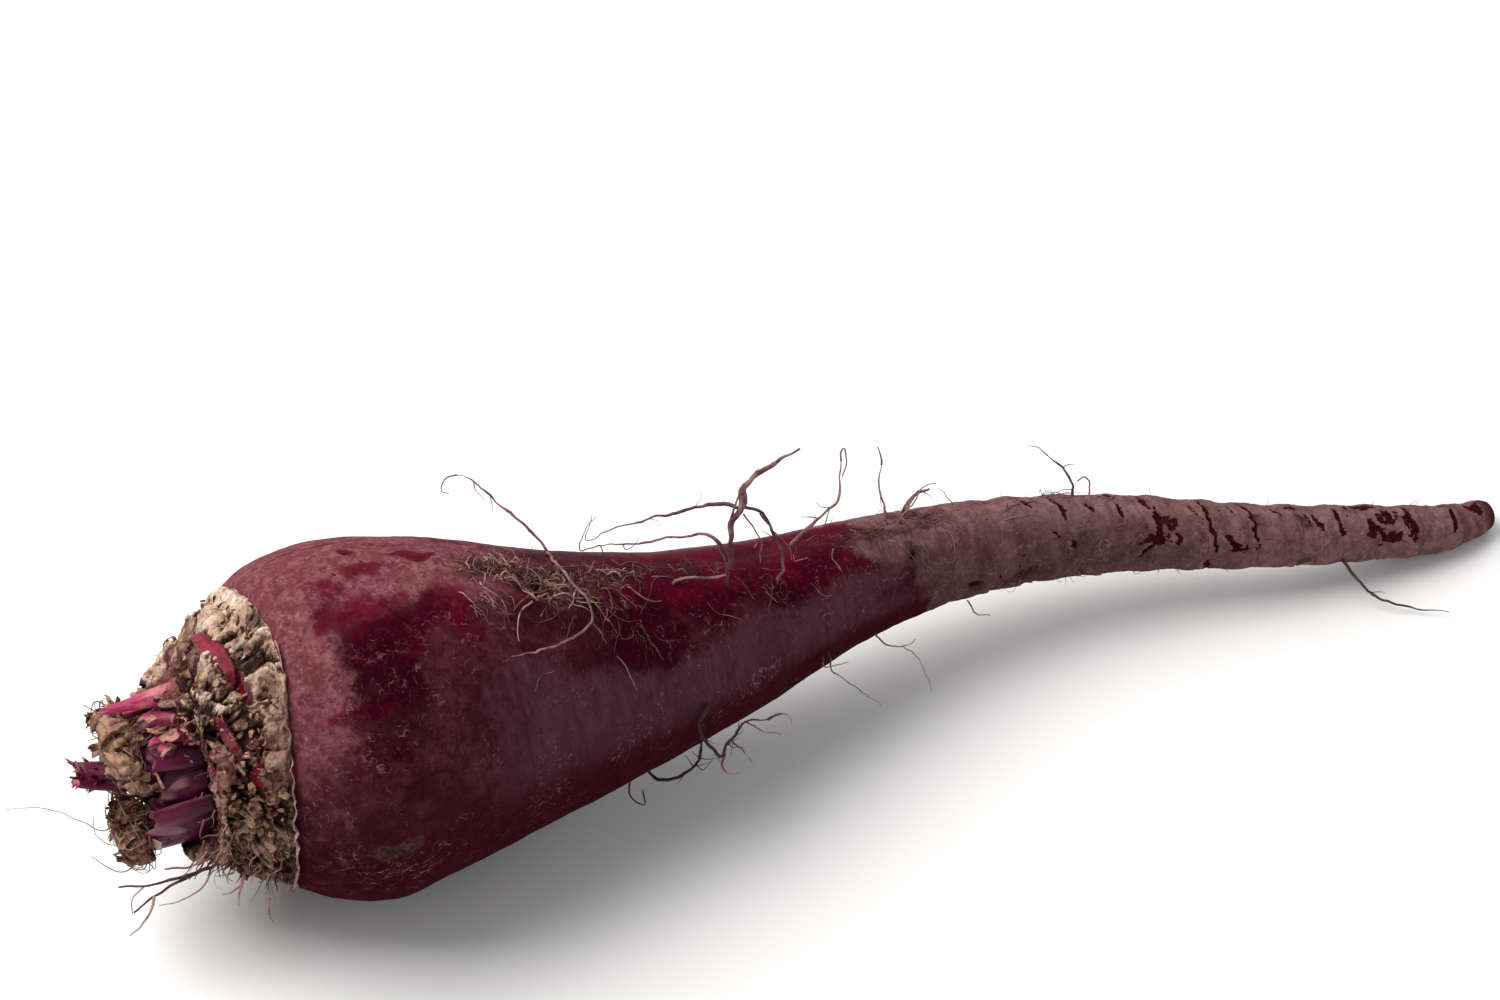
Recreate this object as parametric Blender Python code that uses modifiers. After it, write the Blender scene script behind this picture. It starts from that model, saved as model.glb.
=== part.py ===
"""A beetroot of a long type, lying on its side.

The grown root with its tail and main rootlets, the corky crown, the cut leaf stalks and the
withered stalk ends. The root's axis runs along +X from the crown to the tail, and the root rests
on a small flat spot of its belly and on the tip of its tail. Lengths in this file are in
millimetres; to_scene turns each finished mesh into metres.
"""
import math
import random

import bmesh
import bpy
from mathutils import Vector, noise

MM = 0.001
MERGE = 0.0001
UP = Vector((0, 0, 1))
ALONG = Vector((1, 0, 0))
GOLDEN_ANGLE = math.radians(137.5)

# The root's axis and radius, from the crown's ring to the tip of the tail: x, y, z, radius
ROOT_STATIONS = (
    (-113.6, 0.8, 34.7, 28.2),
    (-107.0, 0.8, 34.3, 31.8),
    (-96.0, 0.6, 33.6, 34.0),
    (-84.0, 0.4, 32.8, 32.5),
    (-70.0, 0.0, 31.9, 29.0),
    (-52.0, -0.5, 30.6, 23.7),
    (-34.0, 0.4, 29.0, 19.3),
    (-14.0, 4.2, 27.0, 15.3),
    (6.0, 8.6, 24.9, 12.1),
    (26.0, 11.7, 22.5, 10.0),
    (46.0, 11.8, 19.9, 8.6),
    (68.0, 8.7, 16.8, 7.6),
    (92.0, 2.9, 12.9, 6.4),
    (116.0, -0.6, 8.6, 5.6),
    (134.0, -1.4, 4.5, 4.7),
    (144.0, 0.0, 3.2, 3.3),
)
ROOT_SIDES = 42
BULB_RING_STEP = 4.6
TAIL_RING_STEP = 3.4
TAIL_START = 20.0
# How far the crown's corky edge climbs over the shoulder on the upper side
EDGE_CLIMB = 4.8
EDGE_CLIMB_ANGLE = math.radians(10)
EDGE_CLIMB_WIDTH = math.radians(45)
EDGE_CLIMB_ALL_ROUND = 0.8
SHOULDER_LENGTH = 16.0
# The shoulder's face under the crown and the tail's worn tip: x, radius
ROOT_FACE = ((-117.8, 0.0), (-117.4, 11.0), (-116.4, 20.5), (-115.2, 26.0))
TAIL_TIP = ((145.7, 2.2), (146.2, 0.0))

# Relief of the skin: lobes round the root, two rows where rootlets leave it, growth rings
LOBE_DEPTH = 0.4
ROOTLET_ROWS = (math.radians(-12), math.radians(165))
ROW_DEPTH = 0.7
ROW_WIDTH = math.radians(13)
ROW_ENDS = (-78.0, 34.0)
DENT_PLACE = (-61.0, math.radians(2))
DENT_DEPTH = 1.3
DENT_RADIUS = 5.0
RING_PITCH = 10.2
RING_DEPTH = 0.3

# The crown outside the root's shoulder: x, radius, share of the relief
CROWN_SIDES = 56
POCKET_FLOOR = -124.2
CROWN_OUTLINE = (
    (-115.7, 26.6, 0.0),
    (-116.6, 27.0, 0.4),
    (-118.0, 25.9, 1.0),
    (-119.4, 24.9, 1.0),
    (-120.8, 23.9, 1.0),
    (-122.2, 22.8, 1.0),
    (-123.6, 21.8, 1.0),
    (-125.0, 20.9, 1.0),
    (-126.4, 20.0, 1.0),
    (-127.8, 19.1, 0.9),
    (-129.2, 18.3, 0.8),
    (-130.2, 17.7, 0.6),
    (-131.0, 17.0, 0.3),
    (-131.2, 16.2, 0.1),
    (-130.4, 15.7, 0.0),
    (-127.6, 15.4, 0.0),
    (-124.6, 15.2, 0.0),
    (POCKET_FLOOR, 8.0, 0.0),
    (POCKET_FLOOR, 0.0, 0.0),
)
CROWN_UNDERSIDE = ((-118.3, 0.0), (-117.9, 11.0), (-116.9, 20.5), (-116.0, 25.2))
SCAR_DEPTH = 2.8
SCAR_ROWS = 3.4
SCAR_SPAN = 17.0
# The side where the crown's wall is broken away and the stalks show
WINDOW_ANGLE = math.radians(60)
WINDOW_OPEN = math.radians(42)
WINDOW_SHUT = math.radians(64)
WINDOW_TOP = -124.8
CROWN_AXIS_END = (-145.0, 0.9, 33.0)
SQUARE_TO_X = (-108.0, -84.0)

# The bunch of cut leaf stalks that stands in the crown
BUNCH_FOOT = -125.0
BUNCH_RADIUS = 12.7
BUNCH_CORE_RADIUS = 10.2
BUNCH_CORE_END = -134.2
STALK_COUNT = 26
STALK_WIDTH = 6.2
STALK_THICKNESS = 2.8
STALK_END = -136.8
# One torn stalk that sticks out between the withered ends: foot, end, width, thickness
TORN_STALK = ((-131.0, 0.6, 32.6), (-146.6, 4.4, 34.0), 3.4, 1.5)
CORE_SIDES = 18

# The withered ends beyond the stalks, in an upper and a lower clump: centre, half sizes
ENDS_FACE = -137.6
UPPER_CLUMP = ((-138.6, 1.6, 41.6), (2.8, 8.6, 3.6))
LOWER_CLUMP = ((-139.2, -4.2, 25.0), (2.8, 7.2, 4.0))
SHRED_COUNT = 20
SHRED_WIDTH = 3.2
SHRED_THICKNESS = 1.5
SHRED_LENGTH = 5.6

# Main rootlets: points along each, its radius at the foot and at the end
ROOTLETS = (
    (((-33, -2, 45), (-32, -1.5, 49.2), (-26.5, -2, 48), (-22, -2.5, 47.3), (-20.6, -0.7, 53.5),
      (-19.7, 1.9, 56.4), (-17, 3.3, 58.7), (-15.7, 5.7, 61.5), (-10.3, 6.2, 64), (-4.3, 6.3, 66.3)),
     0.85, 0.4),
    (((-17.4, 3.2, 58.4), (-19.5, 6, 57.6), (-24.5, 8, 56.4), (-31, 9, 55.8), (-36, 9.8, 55),
      (-39.5, 10.6, 54.4)), 0.5, 0.35),
    (((-21, -1.5, 50.6), (-22.2, 2, 52), (-24.8, 4.5, 52.6), (-29.6, 6, 52.2), (-34.6, 7.4, 51.8),
      (-43, 9.8, 51.6)), 0.45, 0.35),
    (((-16.8, 3.2, 58.6), (-13, 2, 55.6), (-11, -1, 50.6), (-11, -2.6, 46), (-12.2, -2, 42),
      (-12.6, -1, 38)), 0.5, 0.45),
    (((-53.6, 10.4, 48), (-53.2, 10.8, 52.8), (-55.9, 15.9, 56.3), (-59.4, 19.9, 58.8),
      (-62.8, 24.7, 62.2), (-65, 26.6, 62.4)), 0.6, 0.35),
    (((-54, 8.6, 48), (-53, 7, 54), (-52.6, -1.8, 56.8), (-51.4, -7.2, 55.6), (-51.6, -11, 53.6),
      (-57.5, -15.4, 54.4), (-63, -17.8, 55.4), (-69.6, -19.4, 56)), 0.7, 0.4),
    (((-5.8, 7.6, 37), (-5.5, 7.8, 40.8), (-3, 7.9, 42), (2.4, 9.2, 44.9), (5.1, 9.9, 46.6),
      (6.3, 12.1, 49), (7.5, 14.6, 51.9)), 0.55, 0.35),
    (((17.4, 13.4, 31), (17.4, 15.3, 34.2), (17.4, 18.3, 37), (18.9, 21.7, 40.7)), 0.45, 0.35),
    (((20.8, 12.4, 29), (21.4, 15, 33.6), (23.6, 16.1, 35.6), (27, 16, 36.9)), 0.8, 0.5),
    (((-31, -13, 32), (-33, -19.6, 32.3), (-34.8, -21.4, 29.1), (-33.5, -24.8, 26.4),
      (-32.2, -26, 25.6), (-30.8, -24.9, 27.3), (-26.6, -23.6, 30.1), (-22.5, -24.7, 30.5)),
     0.6, 0.4),
    (((-44, -12, 17.4), (-43, -17, 14.8), (-38.3, -18.6, 14.6), (-33.6, -17.4, 16.8),
      (-31, -13, 19)), 0.5, 0.45),
    (((109, -1, 9), (109.3, -6, 7.6), (110.1, -9, 5.4), (113.8, -13.4, 2.8), (119, -17, 1.2)),
     0.5, 0.35),
    (((57.5, 12.4, 22), (57.5, 14.9, 25.8), (57.9, 16.4, 27.2), (57.3, 18.6, 29.1),
      (54.9, 21.7, 31.2)), 0.5, 0.35),
    (((-46, 16, 12), (-46, 22, 8.6), (-41, 25, 5.4), (-34, 27, 2.4), (-26, 30, 1.4)), 0.6, 0.35),
    (((-18, 13, 15), (-18, 18, 12), (-13, 22, 8), (-6, 24, 3.6), (2, 25, 1.6)), 0.55, 0.35),
)
ROOTLET_SIDES_RESOLUTION = 0
# Coarse fibres that hang from the crown below the stalks
CROWN_FIBRES = (
    (((-119.5, -11, 26), (-123, -15.4, 25.2), (-127.6, -17.2, 24.4), (-132, -16.8, 23.4),
      (-135.9, -16, 22.4), (-140.5, -15.2, 21.8), (-145, -13.8, 22)), 0.6, 0.4),
    (((-129, -17.2, 24.2), (-131.4, -17, 23.4), (-135, -16.6, 21.8), (-139.1, -16.8, 20.2),
      (-143.4, -17.6, 18.2)), 0.5, 0.4),
    (((-117.5, 7, 26), (-122, 15, 22.4), (-126, 19.4, 20.6), (-131, 20.6, 18.8), (-137, 19.6, 17.6)),
     0.6, 0.4),
)


def clear_scene():
    for item in list(bpy.data.objects):
        bpy.data.objects.remove(item, do_unlink=True)


def make_collection(name):
    collection = bpy.data.collections.new(name)
    bpy.context.scene.collection.children.link(collection)
    return collection


def principled(name, colour, roughness, specular=0.5):
    material = bpy.data.materials.new(name)
    material.use_nodes = True
    shader = material.node_tree.nodes["Principled BSDF"]
    shader.inputs["Base Color"].default_value = (*colour, 1.0)
    shader.inputs["Roughness"].default_value = roughness
    shader.inputs["Metallic"].default_value = 0.0
    shader.inputs["Specular IOR Level"].default_value = specular
    material.diffuse_color = (*colour, 1.0)
    return material


def smooth_step(low, high, value):
    share = min(max((value - low) / (high - low), 0.0), 1.0)
    return share * share * (3.0 - 2.0 * share)


def bump(distance, width):
    return math.exp(-(distance / width) ** 2)


def angle_between(first, second):
    return (first - second + math.pi) % (2.0 * math.pi) - math.pi


def station_slopes(column):
    """Slope of one column of the stations at each of them, by central differences."""
    last = len(ROOT_STATIONS) - 1
    slopes = []
    for index in range(last + 1):
        before = ROOT_STATIONS[max(index - 1, 0)]
        after = ROOT_STATIONS[min(index + 1, last)]
        slopes.append((after[column] - before[column]) / (after[0] - before[0]))
    return slopes


def station_value(x, column, slopes):
    """One column of the stations at x, on a smooth curve through them."""
    index = 0
    while index < len(ROOT_STATIONS) - 2 and ROOT_STATIONS[index + 1][0] < x:
        index += 1
    start, end = ROOT_STATIONS[index], ROOT_STATIONS[index + 1]
    step = end[0] - start[0]
    t = (x - start[0]) / step
    return ((1 + 2 * t) * (1 - t) ** 2 * start[column] + t * (1 - t) ** 2 * step * slopes[index]
            + t * t * (3 - 2 * t) * end[column] + t * t * (t - 1) * step * slopes[index + 1])


SLOPES = [station_slopes(column) for column in range(4)]


def axis_point(x):
    """The axis at x: the root's own curve, and a straight line on through the crown."""
    first, last = ROOT_STATIONS[0], ROOT_STATIONS[-1]
    if x < first[0]:
        share = (first[0] - x) / (first[0] - CROWN_AXIS_END[0])
        start, end = Vector(first[:3]), Vector(CROWN_AXIS_END)
        return Vector((x, start.y + share * (end.y - start.y), start.z + share * (end.z - start.z)))
    if x > last[0]:
        return Vector((x, last[1], last[2]))
    return Vector((x, station_value(x, 1, SLOPES[1]), station_value(x, 2, SLOPES[2])))


def root_radius(x):
    return station_value(x, 3, SLOPES[3])


def around(x, angle, radius):
    """The point at a radius from the axis; angle 0 is up and 90 degrees faces -Y.

    The sections stand square to the curved axis, and square to X from the shoulder to the crown.
    """
    tangent = (axis_point(x + 0.5) - axis_point(x - 0.5)).normalized()
    tangent = ALONG.lerp(tangent, smooth_step(*SQUARE_TO_X, x)).normalized()
    up = (UP - tangent * tangent.z).normalized()
    side = tangent.cross(up)
    return axis_point(x) + radius * (math.cos(angle) * up + math.sin(angle) * side)


def edge_climb(angle):
    """How far towards the tail the crown's edge lies at an angle."""
    climb = EDGE_CLIMB * bump(angle_between(angle, EDGE_CLIMB_ANGLE), EDGE_CLIMB_WIDTH)
    return EDGE_CLIMB_ALL_ROUND + climb


def root_relief(x, angle, radius):
    """How far the skin stands out from the turned shape, in millimetres."""
    size = radius / 34.0
    lobes = LOBE_DEPTH * size * (math.sin(2 * angle + 0.8 + x / 60) + math.sin(3 * angle - x / 45))
    spot = Vector((x / 17, 2.2 * math.cos(angle) * size, 2.2 * math.sin(angle) * size))
    relief = 0.5 * lobes + 0.9 * size * noise.noise(spot)
    along = smooth_step(ROW_ENDS[0], ROW_ENDS[0] + 14, x) * smooth_step(ROW_ENDS[1], ROW_ENDS[1] - 14, x)
    for row in ROOTLET_ROWS:
        relief -= ROW_DEPTH * along * bump(angle_between(angle, row), ROW_WIDTH)
    across = angle_between(angle, DENT_PLACE[1]) * radius
    relief -= DENT_DEPTH * bump(math.hypot(x - DENT_PLACE[0], across), DENT_RADIUS)
    rings = math.sin(2 * math.pi * x / RING_PITCH + 0.9 * math.sin(angle) + x * x / 2600)
    relief += RING_DEPTH * smooth_step(TAIL_START, TAIL_START + 24, x) * rings
    # The belly and the tail's tip stay close to the measured outline, where they rest
    return relief * (1.0 - 0.75 * bump(angle_between(angle, math.pi), 0.7))


def root_outline():
    """The turned outline, from the middle of the shoulder's face to the end of the tail."""
    outline = [(x, radius) for x, radius in ROOT_FACE]
    x = ROOT_STATIONS[0][0]
    while x < ROOT_STATIONS[-1][0] - 0.5 * TAIL_RING_STEP:
        outline.append((x, root_radius(x)))
        x += TAIL_RING_STEP if x > TAIL_START else BULB_RING_STEP
    outline.append((ROOT_STATIONS[-1][0], ROOT_STATIONS[-1][3]))
    return outline + [(x, radius) for x, radius in TAIL_TIP]


def turned(name, outline, sides):
    """A closed turned shape about Z from its outline of (height, radius), as a plain mesh object."""
    mesh = bpy.data.meshes.new(name + "_outline")
    points = [(radius, 0.0, height) for height, radius in outline]
    mesh.from_pydata(points, [(i, i + 1) for i in range(len(points) - 1)], [])
    blank = bpy.data.objects.new(name, mesh)
    bpy.context.scene.collection.objects.link(blank)
    screw = blank.modifiers.new("turn", "SCREW")
    screw.axis = "Z"
    screw.steps = sides
    screw.render_steps = sides
    screw.use_merge_vertices = True
    screw.merge_threshold = MERGE
    apply_modifiers(blank)
    return blank


def apply_modifiers(item):
    graph = bpy.context.evaluated_depsgraph_get()
    mesh = bpy.data.meshes.new_from_object(item.evaluated_get(graph))
    item.modifiers.clear()
    item.data = mesh


def reshape(item, move):
    """Move each vertex by a function of its angle, height and radius, then face it outwards."""
    work = bmesh.new()
    work.from_mesh(item.data)
    bmesh.ops.remove_doubles(work, verts=work.verts, dist=0.01)
    for vertex in work.verts:
        radius = math.hypot(vertex.co.x, vertex.co.y)
        vertex.co = move(vertex.co.z, math.atan2(vertex.co.y, vertex.co.x), radius)
    bmesh.ops.recalc_face_normals(work, faces=work.faces)
    work.to_mesh(item.data)
    work.free()


def cut_flat(item, point, normal):
    """Cut away what lies on the normal's side of a plane and close the cut."""
    work = bmesh.new()
    work.from_mesh(item.data)
    everything = work.verts[:] + work.edges[:] + work.faces[:]
    bmesh.ops.bisect_plane(work, geom=everything, plane_co=point, plane_no=normal, clear_outer=True)
    open_edges = [edge for edge in work.edges if edge.is_boundary]
    bmesh.ops.holes_fill(work, edges=open_edges, sides=0)
    bmesh.ops.remove_doubles(work, verts=work.verts, dist=0.02)
    bmesh.ops.recalc_face_normals(work, faces=work.faces)
    work.to_mesh(item.data)
    work.free()


def mesh_object(name, mesh):
    item = bpy.data.objects.new(name, mesh)
    bpy.context.scene.collection.objects.link(item)
    return item


def loft(name, sections):
    """A closed solid through a row of sections with the same number of points each."""
    work = bmesh.new()
    rings = [[work.verts.new(point) for point in section] for section in sections]
    count = len(rings[0])
    for ring, following in zip(rings, rings[1:]):
        for index in range(count):
            after = (index + 1) % count
            work.faces.new((ring[index], ring[after], following[after], following[index]))
    work.faces.new(rings[0])
    work.faces.new(rings[-1])
    bmesh.ops.recalc_face_normals(work, faces=work.faces)
    mesh = bpy.data.meshes.new(name)
    work.to_mesh(mesh)
    work.free()
    return mesh_object(name, mesh)


def smooth_route(points, spacing):
    """Points at about the spacing along a Catmull-Rom curve through the given points."""
    knots = [Vector(point) for point in points]
    knots = [2 * knots[0] - knots[1]] + knots + [2 * knots[-1] - knots[-2]]
    route = []
    for a, b, c, d in zip(knots, knots[1:], knots[2:], knots[3:]):
        steps = max(1, round((c - b).length / spacing))
        for step in range(steps):
            t = step / steps
            route.append(0.5 * (2 * b + (c - a) * t + (2 * a - 5 * b + 4 * c - d) * t ** 2
                                + (3 * b - a - 3 * c + d) * t ** 3))
    return route + [knots[-2]]


def tube(name, points, start_radius, end_radius):
    """A tapered rootlet or fibre as a closed mesh, from a curve with filled caps."""
    route = smooth_route(points, 2.6)
    curve = bpy.data.curves.new(name, "CURVE")
    curve.dimensions = "3D"
    curve.bevel_depth = 1.0
    curve.bevel_resolution = ROOTLET_SIDES_RESOLUTION
    curve.use_fill_caps = True
    spline = curve.splines.new("POLY")
    spline.points.add(len(route) - 1)
    for index, (slot, point) in enumerate(zip(spline.points, route)):
        share = index / (len(route) - 1)
        slot.co = (*point, 1.0)
        slot.radius = start_radius + (end_radius - start_radius) * share
    holder = bpy.data.objects.new(name + "_curve", curve)
    bpy.context.scene.collection.objects.link(holder)
    bpy.context.view_layer.update()
    graph = bpy.context.evaluated_depsgraph_get()
    item = mesh_object(name, bpy.data.meshes.new_from_object(holder.evaluated_get(graph)))
    item.matrix_world = holder.matrix_world
    bpy.data.objects.remove(holder, do_unlink=True)
    work = bmesh.new()
    work.from_mesh(item.data)
    bmesh.ops.remove_doubles(work, verts=work.verts, dist=0.01)
    bmesh.ops.recalc_face_normals(work, faces=work.faces)
    work.to_mesh(item.data)
    work.free()
    return item


def fuse(item, additions):
    """Join the additions to the item with one Boolean union, and remove them."""
    group = bpy.data.collections.new(item.name + "_additions")
    bpy.context.scene.collection.children.link(group)
    for addition in additions:
        for holder in list(addition.users_collection):
            holder.objects.unlink(addition)
        group.objects.link(addition)
    union = item.modifiers.new("fuse", "BOOLEAN")
    union.operation = "UNION"
    union.operand_type = "COLLECTION"
    union.collection = group
    union.solver = "EXACT"
    bpy.context.view_layer.update()
    apply_modifiers(item)
    for addition in list(group.objects):
        bpy.data.objects.remove(addition, do_unlink=True)
    bpy.data.collections.remove(group)


def keep_largest_shell(item):
    """Drop any loose scrap, and clean slivers the union leaves."""
    work = bmesh.new()
    work.from_mesh(item.data)
    bmesh.ops.remove_doubles(work, verts=work.verts, dist=0.01)
    bmesh.ops.dissolve_degenerate(work, edges=work.edges, dist=0.005)
    seen = set()
    shells = []
    for start in work.verts:
        if start in seen:
            continue
        shell, queue = {start}, [start]
        while queue:
            for edge in queue.pop().link_edges:
                for vertex in edge.verts:
                    if vertex not in shell:
                        shell.add(vertex)
                        queue.append(vertex)
        seen |= shell
        shells.append(shell)
    shells.sort(key=len)
    scraps = [vertex for shell in shells[:-1] for vertex in shell]
    bmesh.ops.delete(work, geom=scraps, context="VERTS")
    bmesh.ops.recalc_face_normals(work, faces=work.faces)
    work.to_mesh(item.data)
    work.free()


def to_scene(item, name, material, collection, sharp=math.radians(50)):
    """Scale the finished mesh to metres, name and colour it, and put it in its collection."""
    item.name = name
    item.data.name = name
    for vertex in item.data.vertices:
        vertex.co = vertex.co * MM
    item.data.materials.clear()
    item.data.materials.append(material)
    item.data.shade_smooth()
    item.data.set_sharp_from_angle(angle=sharp)
    for holder in list(item.users_collection):
        holder.objects.unlink(item)
    collection.objects.link(item)


def shoulder_share(x, radius):
    """The share of the edge's climb that a point of the shoulder or of its face takes."""
    shoulder = ROOT_STATIONS[0][0]
    if x < shoulder:
        return smooth_step(0.0, ROOT_FACE[-1][1], radius)
    return smooth_step(shoulder + SHOULDER_LENGTH, shoulder, x)


def crown_share(x, radius):
    """The same share for a point of the crown, all along its underside and fading outside."""
    if x > CROWN_UNDERSIDE[0][0] - 0.1 and radius < CROWN_UNDERSIDE[-1][1] + 0.1:
        return smooth_step(0.0, ROOT_FACE[-1][1], radius)
    return smooth_step(POCKET_FLOOR, CROWN_OUTLINE[1][0], x)


def climb_over(x, angle, radius, share):
    """A point moved with the crown's edge, and out to the root's width there."""
    shoulder = ROOT_STATIONS[0][0]
    climb = edge_climb(angle)
    if x < shoulder:
        widening = share * (root_radius(shoulder + climb) - root_radius(shoulder))
    else:
        widening = root_radius(x + share * climb) - root_radius(x)
    return x + share * climb, radius + widening


def make_root(collection):
    root = turned("root", root_outline(), ROOT_SIDES)
    shoulder = ROOT_STATIONS[0][0]
    tip = ROOT_STATIONS[-1][0]

    def grow(x, angle, radius):
        if radius < 0.01:
            return axis_point(x)
        share = smooth_step(shoulder - 2.0, shoulder + 6.0, x) * smooth_step(tip + 1.4, tip - 4.0, x)
        relief = share * root_relief(x, angle, radius)
        x, radius = climb_over(x, angle, radius, shoulder_share(x, radius))
        return around(x, angle, radius + relief)

    reshape(root, grow)
    fuse(root, [tube(f"rootlet_{index}", *rootlet) for index, rootlet in enumerate(ROOTLETS)])
    cut_flat(root, (0, 0, 0), -UP)
    keep_largest_shell(root)
    skin = principled("beet_skin", (0.16, 0.03, 0.045), 0.5)
    to_scene(root, "root", skin, collection)


def crown_relief(x, angle):
    """Knobbly leaf scars in broken rows round the crown."""
    along = (CROWN_OUTLINE[0][0] - x) / SCAR_SPAN
    waver = 0.3 * math.sin(3 * angle + 1) + 0.22 * math.sin(5 * angle + 2.4)
    row = abs(math.sin(math.pi * (SCAR_ROWS * along + waver)))
    spot = Vector((x / 4.6, 4.4 * math.cos(angle), 4.4 * math.sin(angle)))
    knob = 1.0 - 2.2 * abs(noise.noise(spot))
    return SCAR_DEPTH * (0.5 * row + 0.7 * knob - 0.85)


def make_crown(collection):
    shares = {round(x, 3): share for x, _, share in CROWN_OUTLINE}
    outside = [(x, radius) for x, radius, _ in CROWN_OUTLINE]
    crown = turned("crown", outside[::-1] + list(CROWN_UNDERSIDE[::-1]), CROWN_SIDES)

    def grow(x, angle, radius):
        if radius < 0.01:
            return axis_point(x)
        relief = shares.get(round(x, 3), 0.0) * crown_relief(x, angle)
        if x < WINDOW_TOP:
            off = abs(angle_between(angle, WINDOW_ANGLE))
            broken = 0.9 * smooth_step(WINDOW_SHUT, WINDOW_OPEN, off)
            return around(x + (WINDOW_TOP - x) * broken, angle, radius + relief * (1 - 0.6 * broken))
        x, radius = climb_over(x, angle, radius, crown_share(x, radius))
        return around(x, angle, radius + relief)

    reshape(crown, grow)
    fuse(crown, [tube(f"crown_fibre_{index}", *fibre) for index, fibre in enumerate(CROWN_FIBRES)])
    keep_largest_shell(crown)
    cork = principled("crown_cork", (0.28, 0.18, 0.13), 0.85)
    to_scene(crown, "crown", cork, collection, sharp=math.radians(32))


def stalk(name, foot, tip, outward, width, thickness, slant):
    """One cut leaf stalk: rounded outside, hollowed inside, narrowing to its slanted cut end."""
    along = (tip - foot).normalized()
    out = (outward - along * outward.dot(along)).normalized()
    across = along.cross(out)
    shape = ((-0.5, 0.0), (-0.36, 0.36), (0.0, 0.55), (0.36, 0.36), (0.5, 0.0), (0.26, -0.3),
             (0.0, -0.16), (-0.26, -0.3))
    sections = []
    for share, swell in ((0.0, 1.0), (0.4, 1.04), (0.75, 0.94), (1.0, 0.84)):
        centre = foot.lerp(tip, share)
        section = []
        for sideways, outwards in shape:
            lift = slant * share * outwards * thickness
            section.append(centre + across * (sideways * width * swell)
                           + out * (outwards * thickness * swell) - along * lift)
        sections.append(section)
    return loft(name, sections)


def make_leaf_stalks(collection):
    draw = random.Random(11)
    core_outline = ((BUNCH_CORE_END, 0.0), (BUNCH_CORE_END, 0.8 * BUNCH_CORE_RADIUS),
                    (BUNCH_CORE_END + 1.6, BUNCH_CORE_RADIUS), (BUNCH_FOOT, BUNCH_CORE_RADIUS + 1.6),
                    (BUNCH_FOOT, 0.0))
    bunch = turned("leaf_stalks", core_outline, CORE_SIDES)
    reshape(bunch, around)
    stalks = []
    for index in range(STALK_COUNT):
        reach = math.sqrt((index + 0.5) / STALK_COUNT)
        angle = index * GOLDEN_ANGLE + 0.5
        radius = BUNCH_RADIUS * reach
        end = STALK_END + draw.uniform(0.0, 3.6) * reach
        foot = around(BUNCH_FOOT, angle, radius)
        tip = around(end, angle + draw.uniform(-0.1, 0.1), 0.93 * radius)
        outward = foot - axis_point(BUNCH_FOOT)
        size = draw.uniform(0.88, 1.08)
        stalks.append(stalk(f"stalk_{index}", foot, tip, outward, STALK_WIDTH * size,
                            STALK_THICKNESS * size, 0.5))
    torn_foot, torn_end, torn_width, torn_thickness = TORN_STALK
    stalks.append(stalk("torn_stalk", Vector(torn_foot), Vector(torn_end), Vector((0, -0.6, 0.8)),
                        torn_width, torn_thickness, 0.9))
    fuse(bunch, stalks)
    cut_flat(bunch, axis_point(BUNCH_FOOT), ALONG)
    keep_largest_shell(bunch)
    flesh = principled("stalk_flesh", (0.2, 0.02, 0.07), 0.35)
    to_scene(bunch, "leaf_stalks", flesh, collection)


def shred(name, foot, heading, curl, length, width):
    """One withered, curled strip of leaf stalk, flat and torn to a narrow end."""
    sections = []
    point = foot.copy()
    direction = heading.normalized()
    for share, breadth in ((0.0, 1.0), (0.35, 1.1), (0.7, 0.75), (1.0, 0.4)):
        across = direction.cross(curl).normalized()
        normal = across.cross(direction)
        half = 0.5 * breadth * width
        rise = 0.5 * SHRED_THICKNESS * (1.0 - 0.3 * share)
        sections.append([point - across * half, point + normal * rise, point + across * half,
                         point - normal * rise])
        direction = (direction + 0.35 * curl).normalized()
        point = point + direction * (length * 0.34)
    return loft(name, sections)


def make_withered_clump(name, place, seed, material, collection):
    draw = random.Random(seed)
    centre, half_sizes = Vector(place[0]), place[1]
    work = bmesh.new()
    bmesh.ops.create_icosphere(work, subdivisions=2, radius=1.0)
    for vertex in work.verts:
        lump = 1.0 + 0.22 * noise.noise(vertex.co * 2.3 + Vector((seed, 0, 0)))
        vertex.co = centre + Vector([half * value * lump for half, value in zip(half_sizes, vertex.co)])
    mesh = bpy.data.meshes.new(name)
    work.to_mesh(mesh)
    work.free()
    clump = mesh_object(name, mesh)
    shreds = []
    for index in range(SHRED_COUNT):
        angle = index * GOLDEN_ANGLE
        reach = math.sqrt((index + 0.5) / SHRED_COUNT)
        side = Vector((0.0, math.cos(angle) * reach, math.sin(angle) * reach))
        foot = centre + Vector((0.4, side.y * half_sizes[1] * 0.86, side.z * half_sizes[2] * 0.8))
        heading = Vector((-1.0, 0.7 * side.y, 0.35 * side.z))
        curl = Vector((draw.uniform(-0.4, 0.2), draw.uniform(-1, 1), draw.uniform(-0.6, 0.6)))
        shreds.append(shred(f"shred_{index}", foot, heading, curl,
                            SHRED_LENGTH * draw.uniform(0.7, 1.15), SHRED_WIDTH * draw.uniform(0.7, 1.2)))
    fuse(clump, shreds)
    cut_flat(clump, Vector((ENDS_FACE, 0, 0)), ALONG)
    keep_largest_shell(clump)
    to_scene(clump, name, material, collection)


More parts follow.
